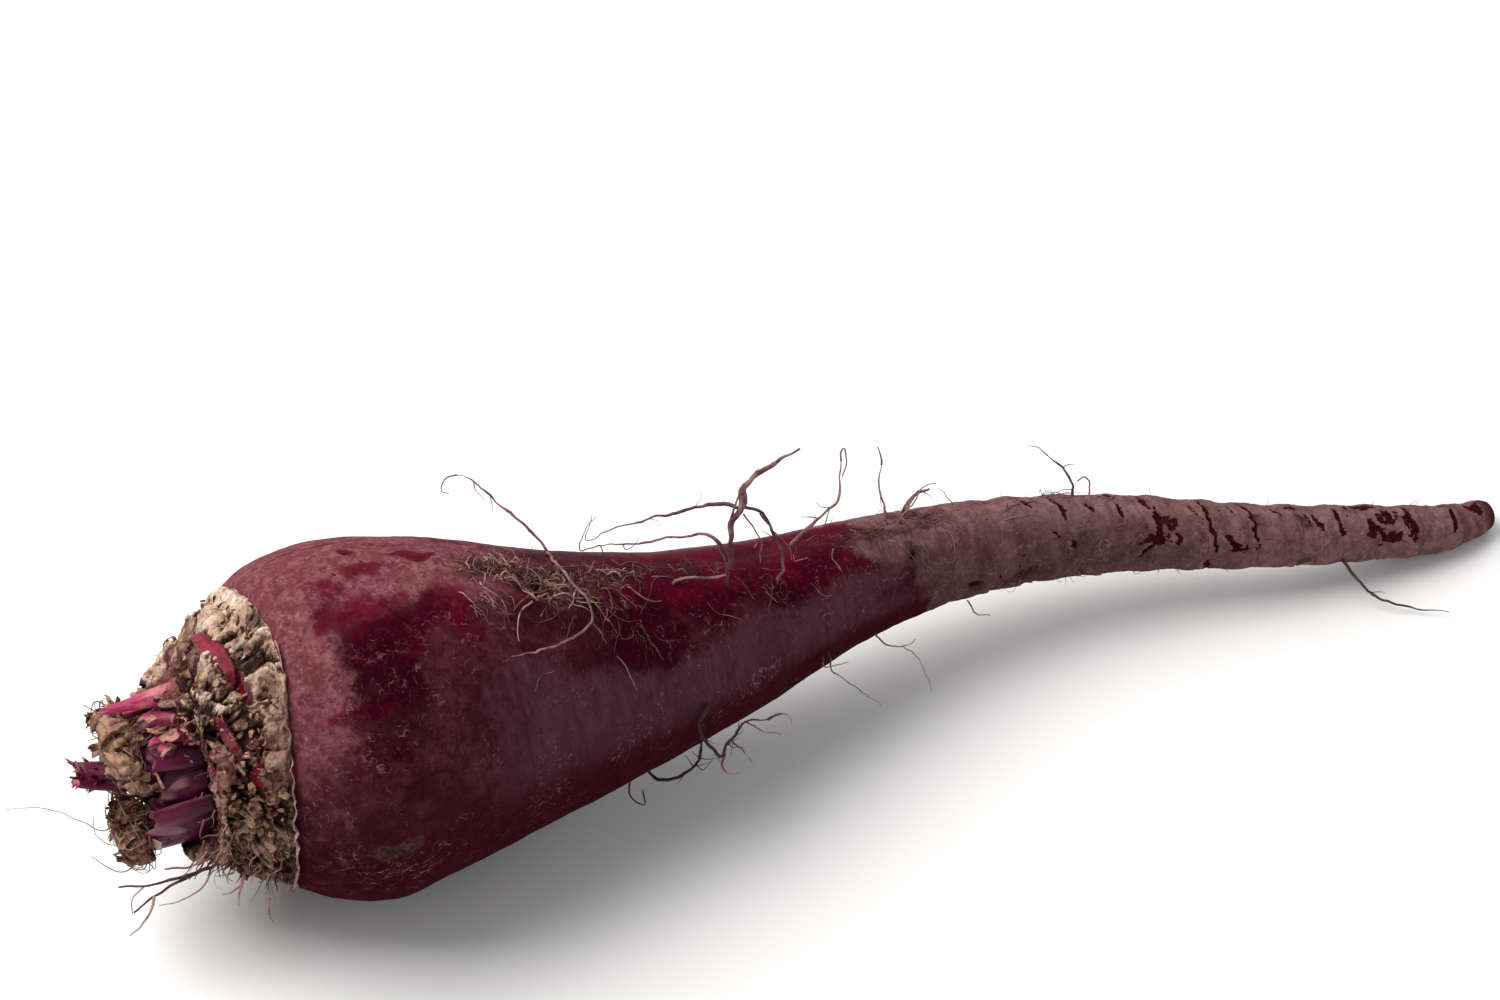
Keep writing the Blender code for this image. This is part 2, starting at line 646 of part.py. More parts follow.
def main():
    clear_scene()
    beetroot = make_collection("beetroot")
    make_root(beetroot)
    make_crown(beetroot)
    make_leaf_stalks(beetroot)
    husk = principled("withered_husk", (0.2, 0.12, 0.075), 0.9)
    make_withered_clump("withered_ends_upper", UPPER_CLUMP, 3, husk, beetroot)
    make_withered_clump("withered_ends_lower", LOWER_CLUMP, 8, husk, beetroot)


main()
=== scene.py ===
"""The looks of a beetroot of a long type, lying on its side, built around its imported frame.

Lengths are in millimetres up to the point where a finished mesh becomes an object in metres. The
shapes of the root, crown and stalks repeat the frame's own formulas, with finer relief added.
"""
import math
import random

import bpy
import numpy as np
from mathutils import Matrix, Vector, noise


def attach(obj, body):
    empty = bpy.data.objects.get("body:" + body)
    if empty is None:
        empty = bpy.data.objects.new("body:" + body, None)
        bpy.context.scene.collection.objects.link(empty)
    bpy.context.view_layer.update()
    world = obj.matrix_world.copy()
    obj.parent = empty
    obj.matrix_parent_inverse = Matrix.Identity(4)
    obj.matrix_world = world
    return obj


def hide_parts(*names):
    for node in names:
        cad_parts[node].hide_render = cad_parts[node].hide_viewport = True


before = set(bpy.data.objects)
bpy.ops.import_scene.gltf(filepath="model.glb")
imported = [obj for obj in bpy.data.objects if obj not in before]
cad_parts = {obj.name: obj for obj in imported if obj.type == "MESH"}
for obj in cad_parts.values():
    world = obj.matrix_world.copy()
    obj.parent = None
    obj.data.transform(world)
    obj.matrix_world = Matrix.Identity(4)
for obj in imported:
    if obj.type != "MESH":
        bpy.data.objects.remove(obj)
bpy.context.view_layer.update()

MM = 0.001
TAU = 2 * math.pi
GOLDEN_ANGLE = math.radians(137.5)
UP = np.array((0.0, 0.0, 1.0))
ALONG = np.array((1.0, 0.0, 0.0))

# The root's axis and radius, from the crown's ring to the tip of the tail: x, y, z, radius
STATIONS = np.array((
    (-113.6, 0.8, 34.7, 28.2), (-107.0, 0.8, 34.3, 31.8), (-96.0, 0.6, 33.6, 34.0),
    (-84.0, 0.4, 32.8, 32.5), (-70.0, 0.0, 31.9, 29.0), (-52.0, -0.5, 30.6, 23.7), (-34.0, 0.4, 29.0, 19.3),
    (-14.0, 4.2, 27.0, 15.3), (6.0, 8.6, 24.9, 12.1), (26.0, 11.7, 22.5, 10.0), (46.0, 11.8, 19.9, 8.6),
    (68.0, 8.7, 16.8, 7.6), (92.0, 2.9, 12.9, 6.4), (116.0, -0.6, 8.6, 5.6), (134.0, -1.4, 4.5, 4.7),
    (144.0, 0.0, 3.2, 3.3),
))
SHOULDER = STATIONS[0, 0]
TAIL_END = STATIONS[-1, 0]
CROWN_AXIS_END = np.array((-145.0, 0.9, 33.0))
SQUARE_TO_X = (-108.0, -84.0)
EDGE_CLIMB, EDGE_CLIMB_ANGLE, EDGE_CLIMB_WIDTH = 4.8, math.radians(10), math.radians(45)
EDGE_CLIMB_ALL_ROUND = 0.8
SHOULDER_LENGTH = 16.0
ROOT_FACE = ((-117.8, 0.4), (-117.4, 11.0), (-116.4, 20.5), (-115.2, 26.0))
TAIL_TIP = ((145.2, 2.8), (145.8, 2.0), (146.2, 0.4))

# Relief of the skin, as on the frame
LOBE_DEPTH = 0.4
ROOTLET_ROWS = (math.radians(-12), math.radians(165))
ROW_DEPTH, ROW_WIDTH, ROW_START, ROW_END, ROW_FADE = 0.7, math.radians(13), -78.0, 34.0, 14.0
DENT_X, DENT_ANGLE, DENT_DEPTH, DENT_RADIUS = -61.0, math.radians(2), 1.3, 5.0
RING_PITCH, RING_DEPTH, TAIL_START = 10.2, 0.3, 20.0

# The crown outside the root's shoulder: x, radius, share of the relief
POCKET_FLOOR = -124.2
CROWN_OUTLINE = np.array((
    (-115.7, 26.6, 0.0), (-116.6, 27.0, 0.4), (-118.0, 25.9, 1.0), (-120.8, 23.9, 1.0), (-123.6, 21.8, 1.0),
    (-126.4, 20.0, 1.0), (-129.2, 18.3, 0.8), (-130.2, 17.7, 0.6), (-131.0, 17.0, 0.3), (-131.2, 16.2, 0.1),
    (-130.4, 15.7, 0.0), (-127.6, 15.4, 0.0), (-124.6, 15.2, 0.0), (POCKET_FLOOR, 8.0, 0.0),
    (POCKET_FLOOR, 0.4, 0.0),
))
CROWN_RIM_ROW = 8
SCAR_DEPTH, SCAR_ROWS, SCAR_SPAN = 2.8, 3.4, 17.0
WINDOW_ANGLE, WINDOW_OPEN, WINDOW_SHUT = math.radians(60), math.radians(42), math.radians(64)
WINDOW_TOP = -124.8

# The bunch of cut leaf stalks
BUNCH_FOOT, BUNCH_RADIUS, STALK_COUNT = -125.0, 12.7, 26
STALK_WIDTH, STALK_THICKNESS, STALK_END = 6.2, 2.8, -136.8
BUNCH_CORE_RADIUS, BUNCH_CORE_END = 10.2, -132.6
YOUNG_STALKS, CURLED_STRIPS = 18, 44
TORN_STALK, TORN_STRIPS = ((-131.0, 0.6, 32.6), (-146.6, 4.4, 34.0), 3.4, 1.5), 22

# The withered ends: centre, half sizes, seed
UPPER_CLUMP = ((-138.6, 1.6, 41.6), (2.8, 8.6, 3.6), 3)
LOWER_CLUMP = ((-139.2, -4.2, 25.0), (2.8, 7.2, 4.0), 8)
SHRED_COUNT, SHRED_WIDTH, SHRED_LENGTH = 20, 3.2, 5.6
WRAPPED_STRIPS, BRIDGE_STRIPS = 26, 9
HUSK_COLUMNS, HUSK_ROWS = 150, 90
# Where dried strips join the clumps to the stalks: foot and heading
UPPER_BRIDGE = (
    ((-135.0, 0.0, 45.6), (-1.0, 0.1, -0.5)), ((-134.4, -7.0, 38.0), (-1.0, 0.3, 0.3)),
)
LOWER_BRIDGE = (
    ((-135.4, -9.0, 27.4), (-1.0, 0.2, -0.2)), ((-135.4, -5.6, 31.0), (-1.0, 0.1, -0.8)),
    ((-135.0, -6.0, 24.0), (-1.0, 0.0, 0.1)),
)

# Main rootlets, on the frame's routes but thinner: points, radius at the foot and at the end, and how much
# more midway, tint from tan 0 to purple 1
ROOTLETS = (
    (((-33, -2.2, 45), (-32.6, -1.6, 48.4), (-31.2, -1.6, 49.2), (-26.5, -2, 48.2),
     (-21.8, -2.5, 47.6)), 0.24, 0.34, 0.0, 0.42),
    (((-22.4, -2.8, 45.4), (-22, -2.5, 47.3), (-21.4, -1.6, 50.4), (-20.6, -0.7, 53.5),
     (-19.7, 1.9, 56.4), (-17, 3.3, 58.7), (-15.7, 5.7, 61.5), (-10.3, 6.2, 64),
     (-4.3, 6.3, 66.3)), 0.46, 0.36, 0.34, 0.6),
    (((-17.4, 3.2, 58.4), (-19.5, 6, 57.6), (-24.5, 8, 56.4), (-31, 9, 55.8), (-36, 9.8, 55),
     (-39.5, 10.6, 54.4)), 0.42, 0.16, 0.0, 0.58),
    (((-21, -1.5, 50.6), (-22.2, 2, 52), (-24.8, 4.5, 52.6), (-29.6, 6, 52.2), (-34.6, 7.4, 51.8),
     (-43, 9.8, 51.6)), 0.34, 0.16, 0.0, 0.46),
    (((-16.8, 3.2, 58.6), (-13, 2, 55.6), (-11, -1, 50.6), (-11, -2.6, 46), (-12.2, -2, 42),
     (-12.6, -1, 38)), 0.32, 0.26, 0.0, 0.7),
    (((-53.6, 10.4, 48), (-53.2, 10.8, 52.8), (-55.9, 15.9, 56.3), (-59.4, 19.9, 58.8),
     (-62.8, 24.7, 62.2), (-65, 26.6, 62.4)), 0.34, 0.16, 0.0, 0.3),
    (((-53.4, 10.6, 50), (-53.3, 10, 53.2), (-53, 5, 55.2), (-52.6, -1.8, 56.6), (-51.4, -7.2, 55.6),
     (-51.6, -10.6, 54), (-57, -14.2, 54.6), (-63, -16, 56), (-68.8, -17, 57.2)), 0.3, 0.2, 0.0, 0.25),
    (((-5.8, 7.6, 37), (-5.5, 7.8, 40.8), (-3, 7.9, 42), (2.4, 9.2, 44.9), (5.1, 9.9, 46.6),
     (6.3, 12.1, 49), (7.5, 14.6, 51.9)), 0.36, 0.2, 0.0, 0.05),
    (((17.4, 13.4, 31), (17.4, 15.3, 34.2), (17.4, 18.3, 37), (18.9, 21.7, 40.7)), 0.28, 0.18, 0.0, 0.1),
    (((20.8, 12.4, 29), (21.4, 15, 33.6), (23.6, 16.1, 35.6), (27, 16, 36.9)), 0.5, 0.3, 0.0, 0.5),
    (((-31, -13, 32), (-33, -19.6, 32.3), (-34.8, -21.4, 29.1), (-33.5, -24.8, 26.4),
     (-32.2, -26, 25.6), (-30.8, -24.9, 27.3), (-26.6, -23.6, 30.1),
     (-22.5, -24.7, 30.5)), 0.4, 0.22, 0.0, 0.95),
    (((-44, -12, 17.4), (-43, -17, 14.8), (-38.3, -18.6, 14.6), (-33.6, -17.4, 16.8),
     (-31, -13, 19)), 0.34, 0.24, 0.0, 0.9),
    (((109, -1, 9), (109.3, -6, 7.6), (110.1, -9, 5.4), (113.8, -13.4, 2.8), (119, -17, 1.4),
     (126, -20.6, 0.8)), 0.38, 0.12, 0.0, 0.8),
    (((57.5, 12.4, 22), (57.5, 14.9, 25.8), (57.9, 16.4, 27.2), (57.3, 18.6, 29.1),
     (54.9, 21.7, 31.2)), 0.34, 0.18, 0.0, 0.8),
    (((-46, 16, 12), (-46, 22, 8.6), (-41, 25, 5.4), (-34, 27, 2.4), (-26, 30, 1.4)), 0.4, 0.2, 0.0, 0.6),
    (((-18, 13, 15), (-18, 18, 12), (-13, 22, 8), (-6, 24, 3.6), (2, 25, 1.6)), 0.38, 0.2, 0.0, 0.6),
)
# Coarse fibres below the stalks, as on the frame: points, radius at the foot and at the end
CROWN_FIBRES = (
    (((-119.5, -11, 26), (-123, -15.4, 25.2), (-127.6, -17.2, 24.4), (-132, -16.8, 23.4),
     (-135.9, -16, 22.4), (-140.5, -15.2, 21.8), (-145, -13.8, 22)), 0.6, 0.4),
    (((-129, -17.2, 24.2), (-131.4, -17, 23.4), (-135, -16.6, 21.8), (-139.1, -16.8, 20.2),
     (-143.4, -17.6, 18.2)), 0.5, 0.4),
    (((-117.5, 7, 26), (-122, 15, 22.4), (-126, 19.4, 20.6), (-131, 20.6, 18.8),
     (-137, 19.6, 17.6)), 0.6, 0.4),
)


def smooth_step(low, high, value):
    share = np.clip((value - low) / (high - low), 0.0, 1.0)
    return share * share * (3.0 - 2.0 * share)


def between(low, rise, fall, high, value):
    """1 from the rise to the fall, sinking smoothly to 0 at the two outer limits."""
    return smooth_step(low, rise, value) * smooth_step(high, fall, value)


def bump(distance, width):
    return np.exp(-(distance / width) ** 2)


def angle_between(first, second):
    return (first - second + math.pi) % TAU - math.pi


def unit(vectors):
    return vectors / np.maximum(np.linalg.norm(vectors, axis=-1, keepdims=True), 1e-9)


def perlin(points, size, shift=0.0):
    """Smooth noise from -1 to 1 at points in millimetres, with lumps of the given size."""
    spots = np.asarray(points, float) / size + shift
    return np.array([noise.noise(spot) for spot in spots.reshape(-1, 3).tolist()]).reshape(spots.shape[:-1])


def rough(points, size, octaves=4, shift=0.0):
    """Noise in several octaves, from about -1 to 1."""
    spots = np.asarray(points, float) / size + shift
    flat = [noise.fractal(spot, 0.7, 2.1, octaves) for spot in spots.reshape(-1, 3).tolist()]
    return np.clip(np.array(flat).reshape(spots.shape[:-1]), -1.3, 1.3)


def ridged(points, size, shift=0.0):
    """Noise with sharp ridges, 1 on a ridge."""
    return 1.0 - 2.2 * np.abs(perlin(points, size, shift))


def swirl(points, size, shifts=(1, 5, 9), start=0.0):
    """A smooth noise for each of the three directions."""
    return np.stack([perlin(points, size, start + shift) for shift in shifts], axis=-1)


def plates(points, size, shift=0.0):
    """Cells of the given size: each point's share of the way to its cell's edge, and the cell's draw."""
    spots = np.asarray(points, float) / size + shift
    found = []
    for spot in spots.reshape(-1, 3).tolist():
        distances, centres = noise.voronoi(spot)
        found.append((distances[1] - distances[0], noise.cell(centres[0] * 37.7)))
    return np.array(found).T.reshape(2, *spots.shape[:-1])


def scatter(draw, amount):
    """A vector with each part drawn at random, spread about zero by the amount."""
    return np.array([draw.gauss(0, amount) for _ in range(3)])


def jitter(draw, amount):
    """A vector with each part drawn at random, at most the amount either way."""
    return np.array([draw.uniform(-amount, amount) for _ in range(3)])


ROWS_BESIDE = [(STATIONS[max(row - 1, 0)], STATIONS[min(row + 1, len(STATIONS) - 1)])
               for row in range(len(STATIONS))]
SLOPES = np.array([(after - before) / (after[0] - before[0]) for before, after in ROWS_BESIDE])


def station_value(x, column):
    """One column of the stations at x, on a smooth curve through them."""
    index = np.clip(np.searchsorted(STATIONS[:, 0], x) - 1, 0, len(STATIONS) - 2)
    start, end = STATIONS[index], STATIONS[index + 1]
    step = end[..., 0] - start[..., 0]
    t = (x - start[..., 0]) / step
    return ((1 + 2 * t) * (1 - t) ** 2 * start[..., column]
            + t * (1 - t) ** 2 * step * SLOPES[index, column]
            + t * t * (3 - 2 * t) * end[..., column] + t * t * (t - 1) * step * SLOPES[index + 1, column])


def root_radius(x):
    return station_value(x, 3)


def axis_point(x):
    """The axis at x: the root's own curve, and a straight line on through the crown."""
    x = np.asarray(x, float)
    inside = np.clip(x, SHOULDER, TAIL_END)
    curve = np.stack([x, station_value(inside, 1), station_value(inside, 2)], axis=-1)
    share = np.clip((SHOULDER - x) / (SHOULDER - CROWN_AXIS_END[0]), 0.0, 2.0)[..., None]
    line = STATIONS[0, :3] + share * (CROWN_AXIS_END - STATIONS[0, :3])
    line[..., 0] = x
    return np.where((x < SHOULDER)[..., None], line, curve)


def around(x, angle, radius):
    """The point at a radius from the axis; angle 0 is up and 90 degrees faces -Y."""
    x = np.asarray(x, float)
    tangent = unit(axis_point(x + 0.5) - axis_point(x - 0.5))
    tangent = unit(ALONG + (tangent - ALONG) * smooth_step(*SQUARE_TO_X, x)[..., None])
    up = unit(UP - tangent * tangent[..., 2:3])
    side = np.cross(tangent, up)
    radius = np.asarray(radius, float)[..., None]
    angle = np.asarray(angle, float)[..., None]
    return axis_point(x) + radius * (np.cos(angle) * up + np.sin(angle) * side)


def edge_climb(angle):
    """How far towards the tail the crown's edge lies at an angle."""
    peak = bump(angle_between(angle, EDGE_CLIMB_ANGLE), EDGE_CLIMB_WIDTH)
    return EDGE_CLIMB_ALL_ROUND + EDGE_CLIMB * peak


def climb_over(x, angle, radius, share):
    """A point moved with the crown's edge, and out to the root's width there."""
    climb = edge_climb(angle)
    before = share * (root_radius(SHOULDER + climb) - root_radius(np.full_like(climb, SHOULDER)))
    inside = np.clip(x, SHOULDER, TAIL_END)
    after = root_radius(np.clip(inside + share * climb, SHOULDER, TAIL_END)) - root_radius(inside)
    return x + share * climb, radius + np.where(x < SHOULDER, before, after)


def root_relief(x, angle, radius):
    """How far the skin stands out from the turned shape, as on the frame."""
    size = radius / 34.0
    lobes = LOBE_DEPTH * size * (np.sin(2 * angle + 0.8 + x / 60) + np.sin(3 * angle - x / 45))
    spots = np.stack([x / 17, 2.2 * np.cos(angle) * size, 2.2 * np.sin(angle) * size], axis=-1)
    relief = 0.5 * lobes + 0.9 * size * perlin(spots, 1.0)
    along = between(ROW_START, ROW_START + ROW_FADE, ROW_END - ROW_FADE, ROW_END, x)
    for row_angle in ROOTLET_ROWS:
        relief -= ROW_DEPTH * along * bump(angle_between(angle, row_angle), ROW_WIDTH)
    across = angle_between(angle, DENT_ANGLE) * radius
    relief -= DENT_DEPTH * bump(np.hypot(x - DENT_X, across), DENT_RADIUS)
    rings = np.sin(TAU * x / RING_PITCH + 0.9 * np.sin(angle) + x * x / 2600)
    relief += RING_DEPTH * smooth_step(TAIL_START, TAIL_START + 24, x) * rings
    return relief * (1.0 - 0.75 * bump(angle_between(angle, math.pi), 0.7))


def ring_grid(columns, *rows):
    """The angle, and each row's value, at every point of a grid of rings."""
    angle = np.linspace(0, TAU, columns, endpoint=False)
    return np.broadcast_arrays(angle[None, :], *(np.asarray(row)[:, None] for row in rows))


def read_rows(rows, spots):
    """Each column of a table, read at places between its rows."""
    return [np.interp(spots, range(len(rows)), column) for column in np.array(rows).T]


def mesh_object(name, points, faces, values, material):
    """An object in metres from points in millimetres, smooth shaded, with its named values per point."""
    mesh = bpy.data.meshes.new(name)
    mesh.from_pydata((np.asarray(points) * MM).tolist(), [], faces)
    mesh.update()
    mesh.shade_smooth()
    for key, value in values.items():
        layer = mesh.attributes.new(key, "FLOAT", "POINT")
        layer.data.foreach_set("value", np.ascontiguousarray(value, np.float32).ravel())
    mesh.materials.append(material)
    piece = bpy.data.objects.new(name, mesh)
    bpy.context.scene.collection.objects.link(piece)
    return piece


def curve_through(a, b, c, d, t):
    """A point of the smooth curve from b to c, where a and d lie before and after them."""
    return 0.5 * (2 * b + (c - a) * t + (2 * a - 5 * b + 4 * c - d) * t ** 2
                  + (3 * b - a - 3 * c + d) * t ** 3)


def smooth_route(points, spacing):
    """Points at about the spacing along a smooth curve through the given points."""
    knots = [np.array(point, float) for point in points]
    knots = [2 * knots[0] - knots[1]] + knots + [2 * knots[-1] - knots[-2]]
    route = []
    for a, b, c, d in zip(knots, knots[1:], knots[2:], knots[3:]):
        steps = max(1, round(float(np.linalg.norm(c - b)) / spacing))
        route += [curve_through(a, b, c, d, step / steps) for step in range(steps)]
    return np.array(route + [knots[-2]])


def smooth_loop(points, count):
    """A closed smooth curve of a number of points through the given flat points."""
    knots = np.array(points, float)
    spot = np.linspace(0, len(knots), count, endpoint=False)
    index = spot.astype(int)
    return curve_through(*(np.roll(knots, shift, axis=0)[index] for shift in (1, 0, -1, -2)),
                         (spot - index)[:, None])


class Bunch:
    """Closed skins over grids of points, gathered into one piece with its named values per point."""

    def __init__(self):
        self.points, self.faces, self.values, self.count = [], [], {}, 0

    def add(self, grid, **values):
        """A closed skin over rows of points, each row a ring, with its two ends capped."""
        rows, columns = grid.shape[:2]
        first = np.arange(rows * columns).reshape(rows, columns) + self.count
        after = np.roll(first, -1, axis=1)
        start = self.count + rows * columns
        quads = np.stack([first[:-1], after[:-1], after[1:], first[1:]], axis=-1)
        self.faces += quads.reshape(-1, 4).tolist()
        self.faces += [(start, b, a) for a, b in zip(first[0].tolist(), after[0].tolist())]
        self.faces += [(start + 1, a, b) for a, b in zip(first[-1].tolist(), after[-1].tolist())]
        self.points += [grid.reshape(-1, 3), grid[0].mean(axis=0)[None], grid[-1].mean(axis=0)[None]]
        for name, value in values.items():
            value = np.broadcast_to(value, (rows, columns))
            self.values.setdefault(name, []).extend((value.ravel(), [value[0].mean(), value[-1].mean()]))
        self.count = start + 2

    def tube(self, route, radii, sides, draw):
        """A thin round fibre along a route; its radii are given at each point or at its two ends."""
        if isinstance(radii, tuple):
            radii = np.linspace(*radii, len(route))
        tangent = unit(np.gradient(route, axis=0))
        side = unit(np.cross(tangent[0], (0.31, 0.72, 0.62)))
        sides_along = []
        for direction in tangent:
            side = unit(side - direction * side.dot(direction))
            sides_along.append(side)
        side = np.array(sides_along)
        out = np.cross(tangent, side)
        turn = np.arange(sides) * TAU / sides
        ring = np.cos(turn)[None, :, None] * side[:, None] + np.sin(turn)[None, :, None] * out[:, None]
        self.add(route[:, None] + ring * radii[:, None, None],
                 along=np.linspace(0, 1, len(route))[:, None], draw=draw)

    def piece(self, name, slot, material, *replaced):
        values = {key: np.concatenate(parts) for key, parts in self.values.items()}
        piece = mesh_object(name, np.concatenate(self.points), self.faces, values, material)
        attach(piece, "root")
        if replaced:
            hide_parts(*replaced)


def colour(red, green, blue):
    """A linear colour from its display values, 0 to 255."""
    shares = [value / 255 for value in (red, green, blue)]
    return (*(s / 12.92 if s <= 0.04045 else ((s + 0.055) / 1.055) ** 2.4 for s in shares), 1.0)


class Value:
    """An output of a material's node tree. Sums, products and steps of it add a node each."""

    def __init__(self, finish, socket):
        self.finish, self.socket = finish, socket

    def math(self, operation, other):
        return self.finish.node("Math", "Value", {0: self, 1: other}, operation=operation)

    def __add__(self, other):
        return self.math("ADD", other)

    def __sub__(self, number):
        return self.math("ADD", -number)

    def __mul__(self, other):
        return self.math("MULTIPLY", other)

    def __or__(self, other):
        """The greater of two."""
        return self.math("MAXIMUM", other)

    __radd__, __rmul__ = __add__, __mul__

    def blend(self, other, share):
        """Two textures mixed, a share of the second."""
        return self * (1.0 - share) + other * share

    def ramp(self, low, high, start=0.0, end=1.0):
        """A smooth step between two limits."""
        limits = {"Value": self, "From Min": low, "From Max": high, "To Min": start, "To Max": end}
        return self.finish.node("MapRange", "Result", limits, interpolation_type="SMOOTHSTEP")

    def broken(self, texture, amount, middle, width):
        """A mask that follows the value, its edge broken up by a texture."""
        return (self + (texture - 0.5) * amount).ramp(middle - width, middle + width)

    def mix(self, first, second):
        """Two colours mixed, with this as the share of the second."""
        first, second = (colour(*tone) if isinstance(tone, tuple) else tone for tone in (first, second))
        inputs = {"Factor": self, "A": first, "B": second}
        return self.finish.node("Mix", "Result", inputs, data_type="RGBA")

    def coated(self, *layers):
        """The colour under layers laid over it in turn: the share and the colour of each."""
        base = self
        for share, tone in layers:
            base = share.mix(base, tone)
        return base


class Finish:
    """A material, built by short calls that each add a node and return its output."""

    def __init__(self, name, specular):
        self.material = bpy.data.materials.new(name)
        self.material.use_nodes = True
        self.tree = self.material.node_tree
        self.shader = self.tree.nodes["Principled BSDF"]
        self.shader.inputs["Specular IOR Level"].default_value = specular
        self.place = self.node("TexCoord", "Object", {})

    def put(self, socket, value):
        if isinstance(value, Value):
            self.tree.links.new(value.socket, socket)
        else:
            socket.default_value = value

    def node(self, kind, output, inputs, **settings):
        node = self.tree.nodes.new("ShaderNode" + kind)
        for name, setting in settings.items():
            setattr(node, name, setting)
        for name, value in inputs.items():
            self.put(node.inputs[name], value)
        return Value(self, node.outputs[output])

    def __getitem__(self, name):
        """A named value of the mesh's points."""
        return self.node("Attribute", "Fac", {}, attribute_name=name)

    def scaled(self, size, stretch=(1, 1, 1), turn=(0, 0, 0), warp=0.0, warp_size=4.0):
        """The place on the object in units of a size in millimetres, warped, turned and stretched."""
        spot = self.place
        if warp:
            shift = self.node("TexNoise", "Color", {"Scale": 1000 / warp_size, "Vector": spot})
            spot = self.node("VectorMath", "Vector", {0: shift, 1: (warp * MM,) * 3, 2: spot},
                             operation="MULTIPLY_ADD")
        fit = {"Vector": spot, "Rotation": [math.radians(angle) for angle in turn],
               "Scale": [size * MM / share for share in stretch]}
        return self.node("Mapping", "Vector", fit, vector_type="TEXTURE")

    def noise(self, size, detail=4.0, roughness=0.55, **place):
        return self.node("TexNoise", "Fac", {"Vector": self.scaled(size, **place), "Scale": 1.0,
                                             "Detail": detail, "Roughness": roughness})

    def dots(self, size, width, share, **place):
        """Scattered dots, or strokes where the place is stretched: half width and share of the cells."""
        near = self.node("TexVoronoi", "Distance", {"Vector": self.scaled(size, **place), "Scale": 1.0})
        draw = Value(self, near.socket.node.outputs["Color"])
        kept = draw.ramp(0.82 - 0.64 * share, 0.86 - 0.64 * share)
        return near.ramp(width / size, 0.45 * width / size) * kept

    def squiggles(self, size, width, gaps, **place):
        """Short winding lines: the level lines of a smooth noise, broken by a finer one."""
        level = (self.noise(size, 1.0, **place) - 0.5).math("ABSOLUTE", 0.0)
        return level.ramp(width, 0.35 * width) * self.noise(0.55 * size, 2.0).ramp(gaps, gaps + 0.06)

    def done(self, base, roughness, *reliefs):
        """The colour, roughness and bumps: the height from 0 to 1 and the depth in millimetres of each."""
        bumped = {}
        for height, depth in reliefs:
            inputs = {"Distance": depth * MM, "Height": height, **bumped}
            bumped = {"Normal": self.node("Bump", "Normal", inputs)}
        for name, value in {"Base Color": base, "Roughness": roughness, **bumped}.items():
            self.put(self.shader.inputs[name], value)
        return self.material


# Places on the skin: x, angle in degrees, half length, half width, strength
RUBBED = (
    (-82, -13, 3.2, 1.4, 2.4), (-101, -1, 6, 3.2, 0.8), (-90, -5, 6.5, 2.2, 0.8), (-93, -17, 2.6, 1.8, 0.9),
    (-96, -30, 4, 1.6, 0.9), (-103, -32, 4, 1.3, 0.85), (-86, -24, 5, 2.2, 0.7), (-76, -28, 4, 2, 0.7),
    (-95, 9, 8, 4, 0.95), (-102, 8, 5, 4, 0.7), (-44, 35, 9, 5, 0.85), (-28, 24, 12, 5, 0.8),
    (-91, 22, 6.5, 8, 1.1), (-82, 13, 7, 5, 1.15), (-77, 22, 4, 4, 0.7), (-94, 38, 6, 6, 0.8),
    (-102, 44, 8, 4, 0.8), (-98, 58, 8, 6, 0.5), (-107, 60, 3, 5, 0.45), (-66, 8, 7, 5, 0.6),
    (-42, 6, 10, 7, 1.1), (-29, 8, 11, 10, 1.4), (-18, 4, 11, 10, 1.4), (-8, 8, 10, 9, 1.3),
    (3, 14, 8, 6, 0.8), (10, 24, 5, 4, 0.5), (-46, 22, 8, 6, 0.8), (-33, -14, 16, 8, 1.15),
    (-10, -18, 18, 7, 1.15), (-24, -38, 27, 9, 1.25), (2, -38, 9, 7, 0.9), (-40, -78, 9, 5, 0.8),
    (-14, -84, 10, 4, 0.75), (-100, 100, 9, 6, 0.55), (-84, 112, 13, 5, 0.6), (-75, -42, 10, 5, 0.6),
    (-92, -58, 6, 6, 0.55), (-99, -84, 5, 9, 0.55), (-70, -75, 12, 8, 0.6), (-48, -50, 11, 6, 0.7),
    (-26, -55, 14, 6, 0.8), (-92, -125, 7, 12, 0.6), (-60, -120, 13, 8, 0.6), (-30, 165, 15, 7, 0.7),
    (-84, 140, 10, 8, 0.5),
)
DARKENED = (
    (-94, 32, 6, 9, 1.1), (-90, 22, 4.5, 6, 0.8), (-97, 50, 6, 6, 0.6), (-44, 25, 7, 6, 0.9),
    (-34, 31, 10, 4, 0.8), (-44, 38, 9, 5, 1.0), (-60, 17, 9, 5, 0.6), (-104, 88, 9, 9, 0.5),
    (-16, 34, 10, 3, 0.6), (-68, -105, 16, 9, 0.7), (-100, -140, 9, 12, 0.7), (-30, -100, 12, 7, 0.6),
    (14, 60, 7, 4, 0.6), (27, 84, 8, 4, 0.5),
)
